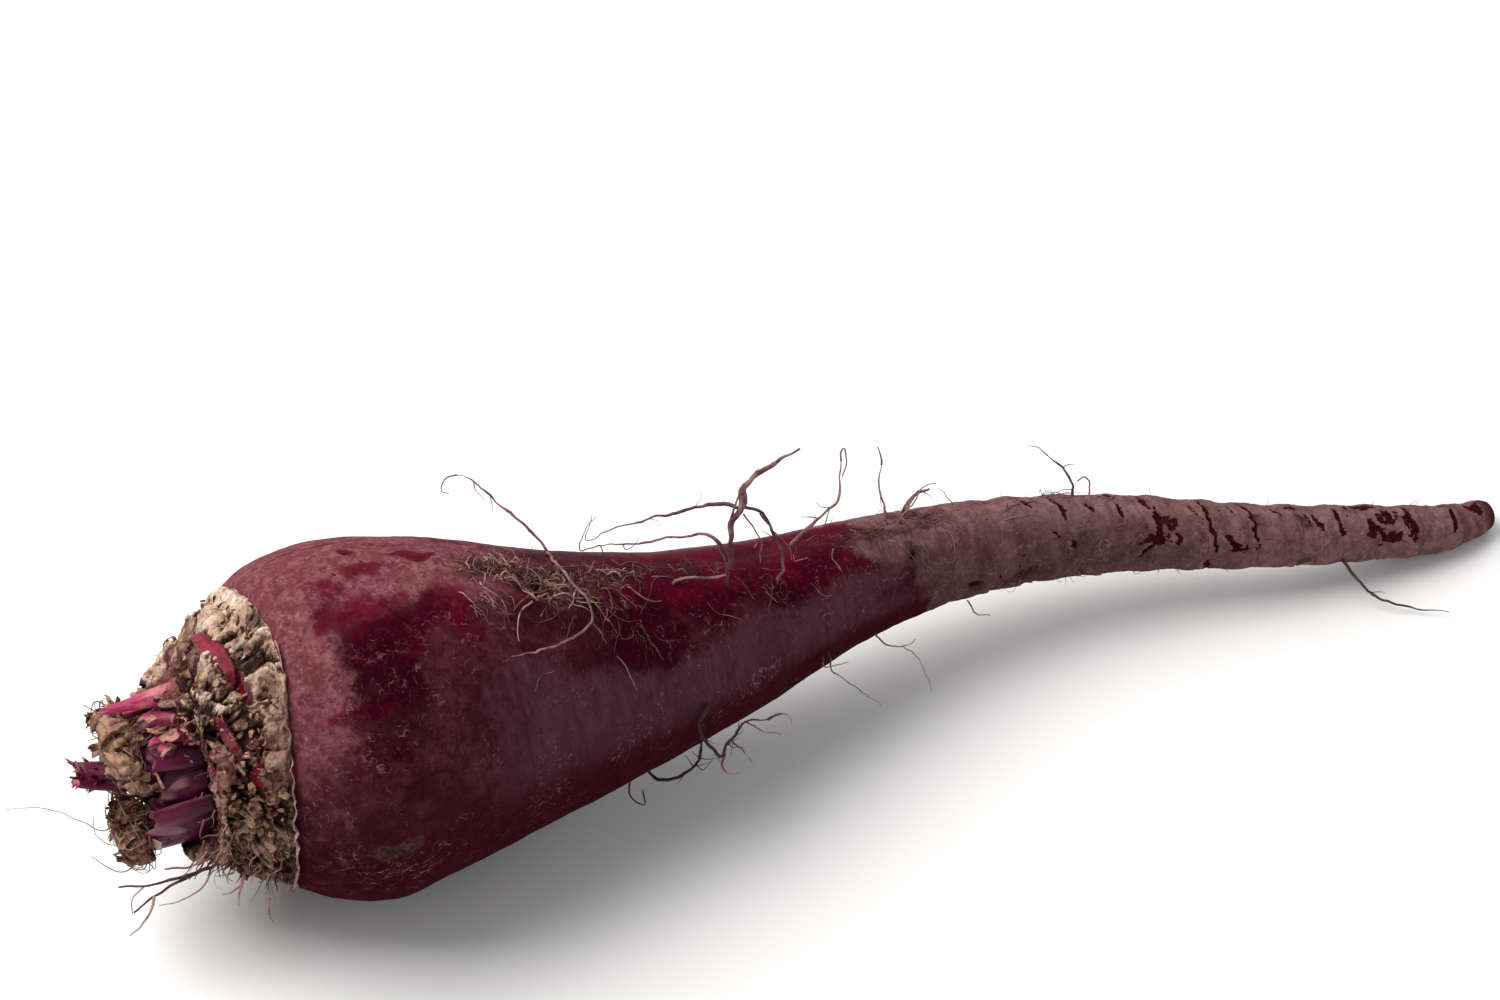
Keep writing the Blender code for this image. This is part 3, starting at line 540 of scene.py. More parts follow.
MARKED = (
    (-99, 46, 13, 13, 1.0), (-92, 97, 15, 7, 1.1), (-108, 74, 6, 12, 0.8), (-75, 26, 12, 7, 0.8),
    (-42, 86, 14, 5, 0.9), (-12, 44, 16, 6, 0.8), (-66, 96, 9, 5, 0.7), (-34, 40, 10, 5, 0.9),
    (-58, 60, 6, 6, 0.5), (5, 52, 9, 6, 0.7), (-62, 74, 7, 5, 1.3), (-48, 77, 6, 4, 1.3),
    (-36, 74, 6, 4, 1.2), (-24, 86, 7, 4, 1.3), (3, 23, 10, 5, 1.2), (-47, 59, 6, 5, 1.0),
    (-80, 59, 5, 5, 1.1), (-95, 56, 8, 5, 0.9), (-96, 104, 10, 6, 1.2), (-109, 92, 5, 8, 1.2),
    (4, 62, 9, 5, 1.2), (-90, -70, 18, 12, 0.9), (-60, -110, 20, 10, 0.8), (-20, -80, 16, 8, 0.8),
    (-80, 160, 20, 12, 0.6),
)
FIBROUS = (
    (-67, -9, 9, 4.5, 1.0), (-58, 5, 5.5, 5, 1.0), (-47, -2, 5, 3.5, 0.8), (-39, -8, 5, 2.4, 0.7),
    (-73, 0, 3.5, 3, 0.7), (-51, 8, 3, 4, 0.6), (-62, 165, 9, 5, 0.9), (-46, 168, 6, 4, 0.8),
    (12, 8, 9, 3, 0.7), (24, 2, 6, 3, 0.7), (102, 95, 4, 2, 0.7), (43, 96, 4.2, 1.4, 1.0),
    (91, 14, 1.6, 1.6, 0.8), (101, 4, 3, 1.4, 0.8),
)
STAINED = (
    (-61, 1, 3.4, 2.6, 1.0), (-52, 12, 2.2, 2, 0.8), (-47, 10, 2, 1.6, 0.6), (-97, 90, 3.4, 1.6, 0.5),
    (17, 38, 0.9, 1.3, 1.0), (31, 96, 1.4, 1.1, 1.0), (-22, 12, 2.6, 1.6, 0.5), (-30, 165, 3, 2, 0.7),
    (-70, 172, 3, 2, 0.8), (-80, -100, 2.5, 2, 0.6),
)
SCARRED = (
    (17, 38, 2.4, 2.4, 1.0), (31, 95, 2.6, 2.4, 1.0), (33, 62, 3.4, 2.2, 0.8), (-98, 90, 5, 2.4, 0.8),
    (-94, 88, 3, 1.8, 0.7), (57, 60, 3, 2.4, 0.7), (62, 72, 4, 2.4, 0.6), (-66, -95, 4, 3, 0.9),
    (10, -70, 3, 2.4, 0.9), (22, 70, 4, 3, 0.6),
)
BLOTCHED = (
    (114.5, -20, 2.0, 1.5, 0.8), (119, 12, 2.4, 2.0, 0.8), (115.6, 36, 1.6, 2.4, 0.8),
    (119.5, 60, 3.2, 1.8, 0.8), (123.5, 26, 1.0, 2.6, 0.7), (74, 26, 2.4, 2.2, 0.7),
    (71, 56, 3.0, 1.6, 0.7), (99, -12, 1.4, 1.0, 0.6), (62, -24, 1.6, 1.0, 0.6), (88, 66, 3.0, 1.2, 0.6),
    (129, -60, 3, 2, 0.8), (60, -90, 5, 2, 0.6), (104, -110, 4, 3, 0.7), (141, 10, 2.2, 2.2, 0.7),
)
# Cracks across the tail: x, angle from and to in degrees, width, lean towards the tip
CRACKS = (
    (37, -45, -22, 1.0, 1.2), (45, -34, 2, 1.3, 2.6), (51, -38, 24, 1.6, 4.2), (50, 38, 50, 0.8, 1.6),
    (53.5, 52, 68, 1.3, 0.4), (58, -8, 12, 1.0, 1.6), (64, -4, 22, 1.2, 1.0), (66, -30, -14, 0.9, 1.0),
    (69, -40, 12, 1.2, 2.0), (71.5, 0, 62, 2.1, 1.6), (69.5, 58, 84, 1.4, -3.0), (75.5, 44, 66, 1.1, 1.0),
    (78.6, -10, 14, 0.9, 1.6), (81.8, -30, 78, 1.5, 3.0), (86.2, -20, 10, 1.1, 1.8),
    (86.8, 44, 76, 1.9, 3.4), (90.4, -26, 72, 1.2, 2.6), (95, -34, 10, 1.3, 3.6), (101.8, 0, 26, 1.2, 1.2),
    (104, 0, 40, 1.0, 1.6), (108.4, -14, 50, 1.6, 1.6), (111, -40, -8, 1.1, 1.4), (124, -36, 82, 1.5, 1.6),
    (132, -40, -12, 1.9, 1.4), (134, -6, 60, 2.0, -0.6), (139, -50, 20, 1.0, 1.0),
)
# Where the cracks on the hidden side begin and end in x, and how far apart they are
HIDDEN_CRACKS = (36, 142, 4)
BULB_STEP, TAIL_STEP, SKIN_SIDES = 0.72, 0.52, 224


def spread(places, x, angle, radius):
    """How strongly a list of oval places covers each point of the skin, 0 to 1."""
    cover = np.zeros_like(x)
    for place_x, place_angle, half_length, half_width, strength in places:
        across = angle_between(angle, math.radians(place_angle)) * radius
        away = np.hypot((x - place_x) / half_length, across / half_width)
        cover = np.maximum(cover, strength * smooth_step(1.5, 0.35, away))
    return cover


def hidden_cracks():
    """More cracks of the same kind round the rest of the tail."""
    draw = random.Random(21)
    found = []
    for x in range(*HIDDEN_CRACKS):
        start = draw.uniform(90, 240)
        found.append((x + draw.uniform(-1.5, 1.5), start, start + draw.uniform(18, 75),
                      draw.uniform(0.8, 1.8), draw.uniform(-2, 3.5)))
    return tuple(found)


def crack_depth(x, angle, points):
    """How deep in a crack each point of the tail lies, 0 to 1."""
    depth = np.zeros_like(x)
    waver = (0.8 * perlin(points, 2.6, 4.0) + 0.4 * perlin(points, 1.1, 9.0)
             + 0.3 * perlin(points, 0.55, 2.0))
    for crack_x, low, high, width, lean in CRACKS + hidden_cracks():
        middle, half = math.radians(0.5 * (low + high)), math.radians(0.5 * (high - low))
        share = angle_between(angle, middle) / half
        away = np.abs(x - crack_x - 0.5 * lean * share + waver)
        taper = np.sqrt(np.clip(1.0 - share * share, 0.0, 1.0))
        inside = np.abs(share) < 1.0
        depth = np.maximum(depth, inside * smooth_step(1.1, 0.5, away / (0.38 * width * taper + 0.05)))
    return depth


def skin_outline():
    """x and radius of each ring of the fine skin, from the shoulder's face to the tip."""
    body = np.concatenate([np.arange(SHOULDER, TAIL_START, BULB_STEP),
                           np.arange(TAIL_START, TAIL_END, TAIL_STEP), [TAIL_END]])
    face = read_rows(ROOT_FACE, np.linspace(0, len(ROOT_FACE) - 1, 9))
    tip = read_rows(((TAIL_END, STATIONS[-1, 3]), *TAIL_TIP), np.linspace(0.4, len(TAIL_TIP), 8))
    return np.concatenate([face, [body, root_radius(body)], tip], axis=1)


def make_skin(material):
    angle, x, radius = ring_grid(SKIN_SIDES, *skin_outline())
    ends = between(SHOULDER - 2, SHOULDER + 6, TAIL_END - 4, TAIL_END + 1.4, x)
    share = np.where(x < SHOULDER, smooth_step(0, ROOT_FACE[-1][1], radius),
                     smooth_step(SHOULDER + SHOULDER_LENGTH, SHOULDER, np.clip(x, SHOULDER, TAIL_END)))
    moved_x, moved_radius = climb_over(x, angle, radius, share)
    relief = ends * root_relief(x, angle, radius) * (1.0 - 0.35 * smooth_step(20, 50, x))
    base = around(moved_x, angle, moved_radius + relief)

    tail = smooth_step(2, 30, x + 12 * rough(base, 12, 3, 7.0) + 9 * np.cos(angle + 0.3))
    crack = crack_depth(x, angle, base) * smooth_step(20, 30, x)
    blotch = spread(BLOTCHED, x + 1.6 * perlin(base, 2.2, 1.0), angle, radius)
    blotch = smooth_step(0.4, 0.62, blotch + 0.6 * perlin(base, 1.3, 3.0) + 0.35 * perlin(base, 0.6, 7.0))
    warped_x = x + 2.2 * perlin(base, 5.0, 2.0) + 5.0 * perlin(base, 13.0, 7.0)
    sideways = 1.4 * perlin(base, 4.0, 8.0) + 3.0 * perlin(base, 11.0, 3.0)
    warped_angle = angle + sideways / np.maximum(radius, 6)
    rubbed, darkened, marked = (spread(places, warped_x, warped_angle, radius)
                                for places in (RUBBED, DARKENED, MARKED))
    fibrous, stained, scarred = (
        spread(places, x + amount * perlin(base, size, 5.0), warped_angle, radius)
        for places, amount, size in ((FIBROUS, 1.5, 3.0), (STAINED, 0.8, 1.6), (SCARRED, 0.8, 2.0)))
    facing = np.degrees(angle_between(angle, 0.0))
    bloom = smooth_step(-95, -107, x) * (0.25 + 0.8 * between(-80, -50, 40, 70, facing))
    bloom = np.maximum(bloom, 0.98 * between(-78, -50, -2, 24, facing) * smooth_step(-58, -74, x))
    rim = between(-70, -50, -36, -22, facing)
    bloom = np.maximum(bloom, rim * np.interp(x, (-60, -50, 14), (0.55, 0.0, 0.0)))
    # A milky film on the skin, with a painted sheen: paler purple-grey where a soft reflection would fall
    film = smooth_step(26, 48, facing + 9 * perlin(base, 16.0, 4.0) - 11 * bump(x + 44, 13))
    film = np.maximum(film * smooth_step(100, 76, facing), between(-150, -120, -105, -80, facing))
    film *= between(-90, -64, 6, 24, x)
    # Painted shade: the tail's lower front side darker
    side = between(-5, 50, 120, 170, facing) * smooth_step(108, 66, x)

    lip = smooth_step(0.0, 0.5, crack_depth(x + 0.9, angle, base) * (1 - crack)) * smooth_step(20, 30, x)
    grain = 0.06 * rough(base, 3.2, 4, 11.0) + 0.16 * perlin(base, 7.0, 6.0) * np.minimum(radius, 20) / 20
    stripes = perlin(base * (1.0, 0.16, 0.16), 1.3, 5.0) * 0.03 + perlin(base * (1, 0.12, 0.12), 3.6) * 0.06
    cork = tail * (0.16 * rough(base * (1.0, 0.55, 0.55), 2.4, 5, 3.0) + 0.12 * perlin(base, 4.2, 2.0))
    tangle = fibrous * (0.22 + 0.34 * ridged(base, 1.7, 2.0))
    pits = 1.1 * stained * scarred + 0.5 * stained * (1 - scarred)
    rims = 0.3 * np.exp(-((scarred - 0.45) / 0.16) ** 2)
    fine = grain + stripes + cork + tangle - pits + rims + 0.16 * lip - 0.5 * crack - 0.14 * blotch
    tip_break = smooth_step(TAIL_END - 5, TAIL_END + 1, x)
    fine += 0.35 * tip_break * rough(base, 2.0, 4, 6.0) * np.minimum(radius, 2) / 2
    fine *= 1.0 - 0.6 * bump(angle_between(angle, math.pi), 0.4) * smooth_step(-60, -80, x)
    points = around(moved_x, angle, np.maximum(moved_radius + relief + ends * fine, 0.05))
    points[..., 2] = np.maximum(points[..., 2], 0.0)
    bunch = Bunch()
    # belly is painted shade: the skin darker towards its underside
    bunch.add(points, tail=tail, crack=crack, blotch=blotch, rubbed=rubbed, fibrous=fibrous,
              stained=stained, scarred=scarred, bloom=bloom, belly=smooth_step(66, 100, np.abs(facing)),
              film=film, darkened=darkened, marked=0.2 + marked, broken=tip_break, lip=lip, side=side,
              neck=between(-68, -52, 4, 20, x))
    bunch.piece("beet_skin", "beet_skin", material, "root")


def skin_finish():
    skin = Finish("beet_skin_finish", 0.01)
    broad = skin.noise(24, 4)
    patch = skin.noise(7, 6, 0.68, warp=3)
    blot = skin.noise(4.2, 6, 0.66, warp=2, warp_size=5)
    mottle = skin.noise(2.2, 5, 0.64, warp=1.2, warp_size=3)
    fleck = skin.noise(0.85, 4, 0.75)
    grain = skin.noise(0.42, 3)
    streak = skin.noise(1.9, 5, 0.66, stretch=(1, 0.13, 0.13), warp=3.0, warp_size=9)
    tail = skin["tail"].broken(patch, 1.6, 0.5, 0.22)

    dark = skin["darkened"].broken(blot, 2.0, 0.55, 0.5)
    # The film's colour holds a painted sheen as well as the milky film
    film = skin["film"].broken(streak.blend(patch, 0.6), 2.4, 0.55, 0.35)
    filmy = streak.ramp(0.38, 0.64).mix((72, 40, 52), (86, 53, 64)).coated(
        (broad.ramp(0.42, 0.6), (76, 44, 56)), (0.3 * mottle.ramp(0.5, 0.64), (56, 20, 32)))
    dust = skin["bloom"].broken(blot.blend(mottle, 0.4), 2.0, 0.5, 0.38)
    dusty = blot.blend(mottle, 0.5).ramp(0.42, 0.58).mix((100, 46, 55), (146, 96, 99)).coated(
        (0.4 * patch.ramp(0.5, 0.58), (104, 58, 56)), (0.5 * fleck.ramp(0.54, 0.68), (178, 134, 132)))
    red = skin["rubbed"].broken(blot.blend(patch, 0.4), 2.8, 0.6, 0.3)
    bare = patch.ramp(0.4, 0.58).mix((86, 3, 28), (60, 1, 22)).coated((0.85 * dark, (40, 2, 15)))
    through = mottle.blend(blot, 0.7).ramp(0.49, 0.56) * dust
    over = mottle.blend(fleck, 0.5).ramp(0.52, 0.62) * red * skin["neck"].ramp(0, 1, 0.13, 0.03)
    # Painted shade: darker crimson towards the underside
    belly = skin["belly"] * mottle.ramp(0.35, 0.6, 0.95, 0.75)

    lines = (skin.squiggles(3.2, 0.018, 0.52, warp=1.0) | skin.squiggles(1.9, 0.024, 0.55, turn=(40, 20, 0))
             | skin.squiggles(4.6, 0.013, 0.5, warp=2.0))
    strokes = (skin.dots(2.3, 0.28, 0.3, warp=0.6) | skin.dots(1.2, 0.15, 0.2)
               | skin.dots(3.4, 0.34, 0.45, stretch=(0.4, 1.6, 1.6), turn=(0, -25, 10), warp=1.5)
               | skin.dots(2.6, 0.26, 0.4, stretch=(1.6, 0.4, 1.6), turn=(60, 0, 0), warp=1.2)
               | skin.dots(2.8, 0.28, 0.4, stretch=(1.6, 1.6, 0.35), turn=(0, 0, 30), warp=1.2))
    cluster = skin.noise(6, 4, 0.65).ramp(0.44, 0.6, 0.12, 1.0) * skin["marked"]
    marks = (lines | strokes) * fleck.blend(mottle, 0.5).ramp(0.4, 0.56, 0.2, 1.0) * cluster
    scuffed = mottle.blend(fleck, 0.5).ramp(0.5, 0.62) * cluster

    # The last layer of the cork is the painted shade on the tail's lower front side
    cork = mottle.blend(fleck, 0.3).ramp(0.38, 0.62).mix((101, 70, 72), (131, 98, 97)).coated(
        (0.5 * streak.ramp(0.5, 0.6), (76, 45, 49)), (0.3 * patch.ramp(0.5, 0.6), (98, 54, 58)),
        (0.3 * broad.ramp(0.48, 0.6), (96, 78, 72)), (0.3 * fleck.ramp(0.54, 0.68), (152, 118, 114)),
        (skin["side"] * patch.ramp(0.4, 0.6, 0.5, 0.75), (68, 42, 46)))
    husk = fleck.ramp(0.4, 0.62).mix((42, 25, 25), (86, 58, 53))
    scar = fleck.ramp(0.4, 0.6).mix((54, 40, 37), (86, 66, 60))
    raw = fleck.ramp(0.4, 0.6).mix((42, 9, 15), (64, 18, 25))
    tip = mottle.ramp(0.4, 0.6).mix((50, 23, 27), (84, 50, 50))
    base = patch.ramp(0.4, 0.6).mix((62, 20, 32), (78, 34, 45)).coated(
        (0.65 * mottle.ramp(0.47, 0.57), (50, 11, 23)), (0.8 * film, filmy), (0.85 * dark, (40, 6, 18)),
        (0.9 * dust, dusty), (0.93 * red, bare), (0.7 * through, (90, 20, 35)), (over, (108, 44, 56)),
        (belly, (50, 7, 18)), (0.68 * marks, (146, 106, 112)), (0.3 * scuffed, (112, 66, 74)),
        (tail, cork), (0.3 * ((lines | strokes) * tail), (156, 118, 112)),
        (skin["fibrous"].broken(mottle.blend(fleck, 0.4), 2.6, 0.62, 0.2), husk),
        (0.6 * skin["scarred"].broken(mottle, 1.6, 0.5, 0.25), scar),
        (0.9 * skin["stained"].ramp(0.25, 0.8), (28, 15, 14)), (0.4 * skin["lip"], (140, 104, 100)),
        (skin["blotch"].broken(fleck, 0.9, 0.5, 0.1), raw),
        (skin["crack"].broken(fleck, 0.9, 0.42, 0.12), raw),
        (skin["broken"].broken(patch, 0.8, 0.6, 0.2), tip))
    roughness = (fleck - 0.5) * 0.2 + (dust | tail).ramp(0, 1, 0.46, 0.7) + -0.12 * red + 0.4 * belly
    rind = mottle.blend(fleck, 0.4) * tail.ramp(0, 1, 0.5, 1.0)
    return skin.done(base, roughness, (streak, 0.12), (rind, 0.4), (grain, 0.06), (marks, 0.1))


def skin_point(x, degrees, lift=0.0):
    """A point on the skin, lifted off it."""
    angle, radius = math.radians(degrees), root_radius(np.clip(x, SHOULDER, TAIL_END))
    return around(x, angle, radius + root_relief(x, angle, radius) + lift)


def wander(x, degrees, heading, length, draw, lift, turn, step):
    """A thin fibre's route that wanders over the skin; heading 0 runs to the tail, in radians."""
    places = []
    angle, bend = math.radians(degrees), 0.0
    for _ in range(max(4, int(length / step))):
        places.append((x, angle))
        bend = 0.82 * bend + draw.gauss(0, 0.34) * turn
        heading += bend
        x += step * math.cos(heading)
        angle += step * math.sin(heading) / max(root_radius(x), 3)
    x, angle = np.array(places).T
    radius = root_radius(np.clip(x, SHOULDER, TAIL_END))
    share = np.linspace(0, 1, len(places))
    phase = draw.uniform(0, TAU)
    sway = np.abs(np.sin(share * draw.uniform(2, 6) + phase))
    rise = lift * (0.25 + 0.75 * sway) * np.minimum(1, 5 * share)
    route = around(x, angle, radius + root_relief(x, angle, radius) + rise - 0.15)
    route[:, 2] = np.maximum(route[:, 2], 0.15)
    return route


def grow(foot, direction, count, pull, waver, stride, draw):
    """A short fibre's points: at each its direction is pulled and wavers, and it goes a stride on."""
    points = [foot]
    for _ in range(count):
        direction = unit(direction + pull + scatter(draw, waver))
        reach = draw.uniform(*stride) if isinstance(stride, tuple) else stride
        points.append(points[-1] + direction * reach)
    return points


def lowest(points):
    return min(point[2] for point in points)


# Loose hairs: points, radius at the foot and at the end, tint from tan 0 to purple 1
HAIRS = (
    (((-19.5, 2.4, 57.2), (-17.4, 4, 60), (-15.2, 5.6, 62), (-12.6, 6.4, 64)), 0.3, 0.12, 0.5),
    (((-36, 9.8, 55), (-40, 10.6, 54.2), (-45.5, 10, 53.6), (-43.6, 12, 57)), 0.22, 0.08, 0.1),
    (((-43, 9.8, 51.6), (-46.5, 10.2, 51.2), (-45, 12, 54.6), (-42.4, 12.6, 56)), 0.2, 0.08, 0.0),
    (((-14, 2.4, 56), (-11.8, 0.4, 53.4), (-9.6, -1.6, 50.2), (-8.8, -2, 46.4)), 0.18, 0.1, 0.4),
    (((-17, 2.6, 57.6), (-15.6, 1.6, 54.2), (-14.6, 0, 51), (-14.8, -1, 47)), 0.22, 0.12, 0.3),
    (((-22, -1.6, 49), (-23, 1, 53.2), (-25.6, 2.6, 55), (-27.6, 3, 55.2)), 0.16, 0.07, 0.0),
    (((-65, 26.6, 62.4), (-67.2, 27.6, 61.2), (-68.2, 26.8, 59.4), (-67, 26, 58.8)), 0.24, 0.1, 0.0),
    (((-51.6, -11, 53.6), (-49.6, -14, 49.6), (-47.2, -17.6, 46), (-46, -19.6, 42.4)), 0.2, 0.1, 0.3),
    (((7.5, 14.6, 51.9), (8, 15.6, 53.4), (9, 15.8, 53.6), (8.8, 14.8, 51.6),
     (7.4, 13, 49.6)), 0.24, 0.16, 0.0),
    (((-3, 7.9, 42), (-1, 7, 43.6), (0.6, 6.4, 44.6), (3, 8.6, 46), (4.4, 9.4, 46.4)), 0.22, 0.12, 0.0),
    (((3.4, 9.4, 45.6), (1.6, 9.6, 46), (0.4, 10.4, 47.2)), 0.14, 0.06, 0.1),
    (((-2.4, 5, 38.4), (-5, 3, 40.6), (-6.6, 2.2, 41.4)), 0.22, 0.1, 0.2),
    (((18.9, 21.7, 40.7), (19.2, 22.6, 42.8), (18.6, 23.2, 44.2)), 0.28, 0.12, 0.1),
    (((20.8, 12.4, 31.6), (19, 11.6, 35), (22.4, 13, 37.4), (25.8, 15.6, 38.2),
     (28, 16, 37.8)), 0.3, 0.12, 0.0),
    (((21.4, 14.4, 33.2), (22.4, 14.8, 35.6), (24.6, 15.6, 37.4)), 0.4, 0.2, 0.2),
    (((32, 16, 29.6), (31, 17, 32.4), (29.4, 17.6, 34.2)), 0.16, 0.07, 0.2),
    (((54.9, 21.7, 31.2), (53.2, 23.6, 32.2), (51.4, 24.4, 32.2)), 0.24, 0.08, 0.1),
    (((59.4, 12.6, 24), (61, 14.4, 26.4), (60.4, 16, 28.4), (58.6, 15.8, 28.2)), 0.3, 0.16, 0.2),
    (((-22.5, -24.7, 30.5), (-20.6, -25.6, 32), (-19.6, -27.6, 33.4),
     (-19.4, -29.4, 33.4)), 0.36, 0.12, 0.6),
    (((-31.6, -26, 25.8), (-33, -28, 25.2), (-32.4, -30, 25), (-31, -31.6, 26)), 0.3, 0.12, 0.6),
    (((-30, -25, 27.6), (-28.4, -27.6, 27.4), (-27.6, -29.8, 26)), 0.22, 0.1, 0.6),
    (((-26.6, -23.6, 30.1), (-24, -26, 29.2), (-21.6, -28.6, 29.8)), 0.2, 0.1, 0.5),
    (((-47, -16, 15.4), (-48, -19.6, 13.2), (-45.8, -20.4, 11.8), (-45.4, -18, 12.8)), 0.26, 0.2, 0.7),
    (((-3.6, -7.6, 26), (-4.4, -13, 25), (-2, -16.4, 24.2), (2.8, -19.4, 19.4)), 0.22, 0.08, 0.5),
    (((-5, -8, 25), (-5.6, -12.4, 26), (-2, -14, 27.6)), 0.24, 0.1, 0.3),
    (((8, -1.4, 21), (9, -6.4, 21.6), (12.4, -8.8, 22.4), (14, -9, 23.4)), 0.26, 0.12, 0.4),
    (((11.6, -8.2, 22.2), (13.4, -12, 21), (14, -17.6, 17)), 0.15, 0.07, 0.3),
    (((30, 3.4, 16.6), (31, 0.6, 15.2), (33, -1.4, 16)), 0.22, 0.1, 0.6),
)
# Fibres that stay on the skin: x, angle in degrees, heading in degrees, length, radius, tint
LYING_FIBRES = (
    (12, 12, 40, 9, 0.24, 0.2), (24, 16, 4, 12, 0.2, 0.1), (26, -14, 10, 12, 0.24, 0.1),
    (59, 50, 20, 9, 0.22, 0.0), (62, -36, 8, 14, 0.22, 0.1), (-41, -4, 50, 8, 0.2, 0.3),
    (-22, 10, 80, 7, 0.2, 0.6), (-61, 12, 50, 11, 0.15, 0.4), (-55, 12, 95, 22, 0.2, 0.7),
    (-50, 12, 80, 26, 0.2, 0.75), (-72, 10, 64, 5, 0.14, 0.3), (-65, 16, 84, 8, 0.13, 0.5),
    (42, -30, 6, 12, 0.22, 0.1), (82, -24, 3, 18, 0.16, 0.0), (38, 20, -14, 12, 0.2, 0.1),
    (-58, 150, 20, 18, 0.3, 0.2), (-40, 160, 10, 20, 0.3, 0.2), (-30, 22, 85, 9, 0.18, 0.6),
    (-8, 30, 70, 7, 0.18, 0.5),
)
# Tangles of dry fibres: x, angle, half length, half width, how many, tint from pale 0 to dark 1, and the
# fibres' heading in degrees with its scatter; a wide scatter goes both ways
TANGLES = (
    (-67, -9, 9, 4, 130, 0.0, 20, 50), (-58, 2, 6, 5.5, 130, 0.1, 30, 60),
    (-62, -4, 6, 3.5, 60, 0.2, 20, 60), (-47, -2, 6.5, 3.5, 56, 0.1, 20, 50),
    (-40, -7, 5, 3, 26, 0.3, 10, 40), (-49, 10, 4, 5, 22, 0.3, 75, 16), (-45, 20, 3, 9, 26, 0.45, 78, 12),
    (5, 3, 5, 2.4, 18, 0.2, 20, 40), (20, -6, 7, 3, 30, 0.3, 10, 40), (43, 94, 3.4, 1.2, 14, 0.5, 0, 30),
    (-60, 166, 9, 4, 50, 0.3, 0, 50), (-42, 168, 6, 3, 30, 0.3, 0, 50), (52, -30, 3, 2, 12, 0.3, 0, 30),
    (-10, 172, 8, 3, 20, 0.3, 0, 40), (-72, 8, 5, 4, 26, 0.1, 70, 18), (-28, -4, 5, 3, 20, 0.3, 20, 50),
    (-16, 30, 4, 5, 10, 0.5, 80, 14),
)
WIDE_SCATTER, THICK_SHARE = 20, 0.16
ROW_HAIRS, ROW_HAIRS_START, ROW_HAIRS_END = 170, -78, 130


def make_rootlets(material):
    draw = random.Random(5)
    bunch = Bunch()
    for points, foot, end, swell, tint in ROOTLETS:
        route = smooth_route(points, 0.7)
        share = np.linspace(0, 1, len(route))
        size = foot + (end - foot) * share + swell * bump(share - 0.52, 0.2)
        size = size * (1.0 + 0.35 * perlin(route, 2.0, foot)) * (1.0 - 0.4 * smooth_step(0.8, 1.0, share))
        route = wavered(route)
        route[:, 2] = np.maximum(route[:, 2], size + 0.1)
        bunch.tube(route, size, 10, tint)
        for _ in range(9 if tint > 0.85 else 2):
            twig = [route[draw.randrange(len(route) // 3, len(route))]]
            lean = scatter(draw, 1) + (0.4, -0.3, 0.0)
            for _ in range(3):
                lean = lean + scatter(draw, 0.5)
                twig.append(twig[-1] + unit(lean) * draw.uniform(0.5, 2.0))
            if lowest(twig) > 0.3:
                width = draw.uniform(0.07, 0.14)
                bunch.tube(smooth_route(twig, 0.5), (width, 0.4 * width), 5, tint)
    for points, foot, end, tint in HAIRS:
        route = wavered(smooth_route(points, 0.6))
        bunch.tube(route, (0.8 * foot, 0.8 * end), 6, tint)
    for x, degrees, heading, length, size, tint in LYING_FIBRES:
        route = wander(x, degrees, math.radians(heading), length, draw, 0.35, 0.32, 0.6)
        bunch.tube(route, (0.6 * size, 0.25 * size), 6, tint)
    bunch.piece("rootlets", "beet_skin", material, "root")


def wavered(route):
    """A route with the small bends of a grown rootlet; the same place always bends the same way."""
    return route + 0.5 * (swirl(route, 3.2) + 0.35 * swirl(route, 1.1))


def make_tangle(material):
    """Dry fibres matted where rootlets leave the skin, with fine hairs along the two rows."""
    draw = random.Random(17)
    bunch = Bunch()
    for x, degrees, half_length, half_width, count, tint, heading, spread_by in TANGLES:
        radius = root_radius(x)
        for _ in range(count):
            reach, turn = math.sqrt(draw.random()), draw.uniform(0, TAU)
            start_x = x + half_length * reach * math.cos(turn)
            start = degrees + math.degrees(half_width * reach * math.sin(turn) / radius)
            way = math.radians(heading + draw.gauss(0, spread_by))
            way += draw.choice((0.0, math.pi)) * (spread_by > WIDE_SCATTER)
            thick = draw.random() < THICK_SHARE
            length = draw.uniform(3, 10) * draw.uniform(0.5, 1.0) * (1.3 if thick else 1.0)
            lift, bending = draw.uniform(0.1, 2.0), draw.uniform(0.05, 0.34)
            route = wander(start_x, start, way, length, draw, lift, bending, 0.5)
            size = draw.uniform(0.12, 0.24) if thick else draw.uniform(0.04, 0.1)
            shade = tint + (draw.uniform(0, 0.4) if thick else draw.uniform(0.1, 0.85))
            bunch.tube(route, (size, 0.5 * size), 5, min(1.0, shade))
    for index in range(ROW_HAIRS):
        x = draw.uniform(ROW_HAIRS_START, ROW_HAIRS_END)
        scatter_here = 16 + 22 * max(x, 0) / ROW_HAIRS_END
        degrees = math.degrees(ROOTLET_ROWS[index % 2]) + draw.gauss(0, scatter_here)
        foot = skin_point(x, degrees, -0.3)
        out = skin_point(x, degrees, 1.0) - foot
        length = draw.uniform(0.8, 3.2)
        lean = np.array((draw.gauss(0.3, 0.8), draw.gauss(0, 0.5), draw.gauss(0, 0.5)))
        points = grow(foot, 0.8 * out, 4, 0.5 * lean, 0.4, length / 4, draw)
        if lowest(points) >= 0.2:
            size = draw.uniform(0.04, 0.09)
            bunch.tube(smooth_route(points, 0.5), (size, 0.4 * size), 4, draw.uniform(0, 1))
    bunch.piece("fibre_tangle", "beet_skin", material)


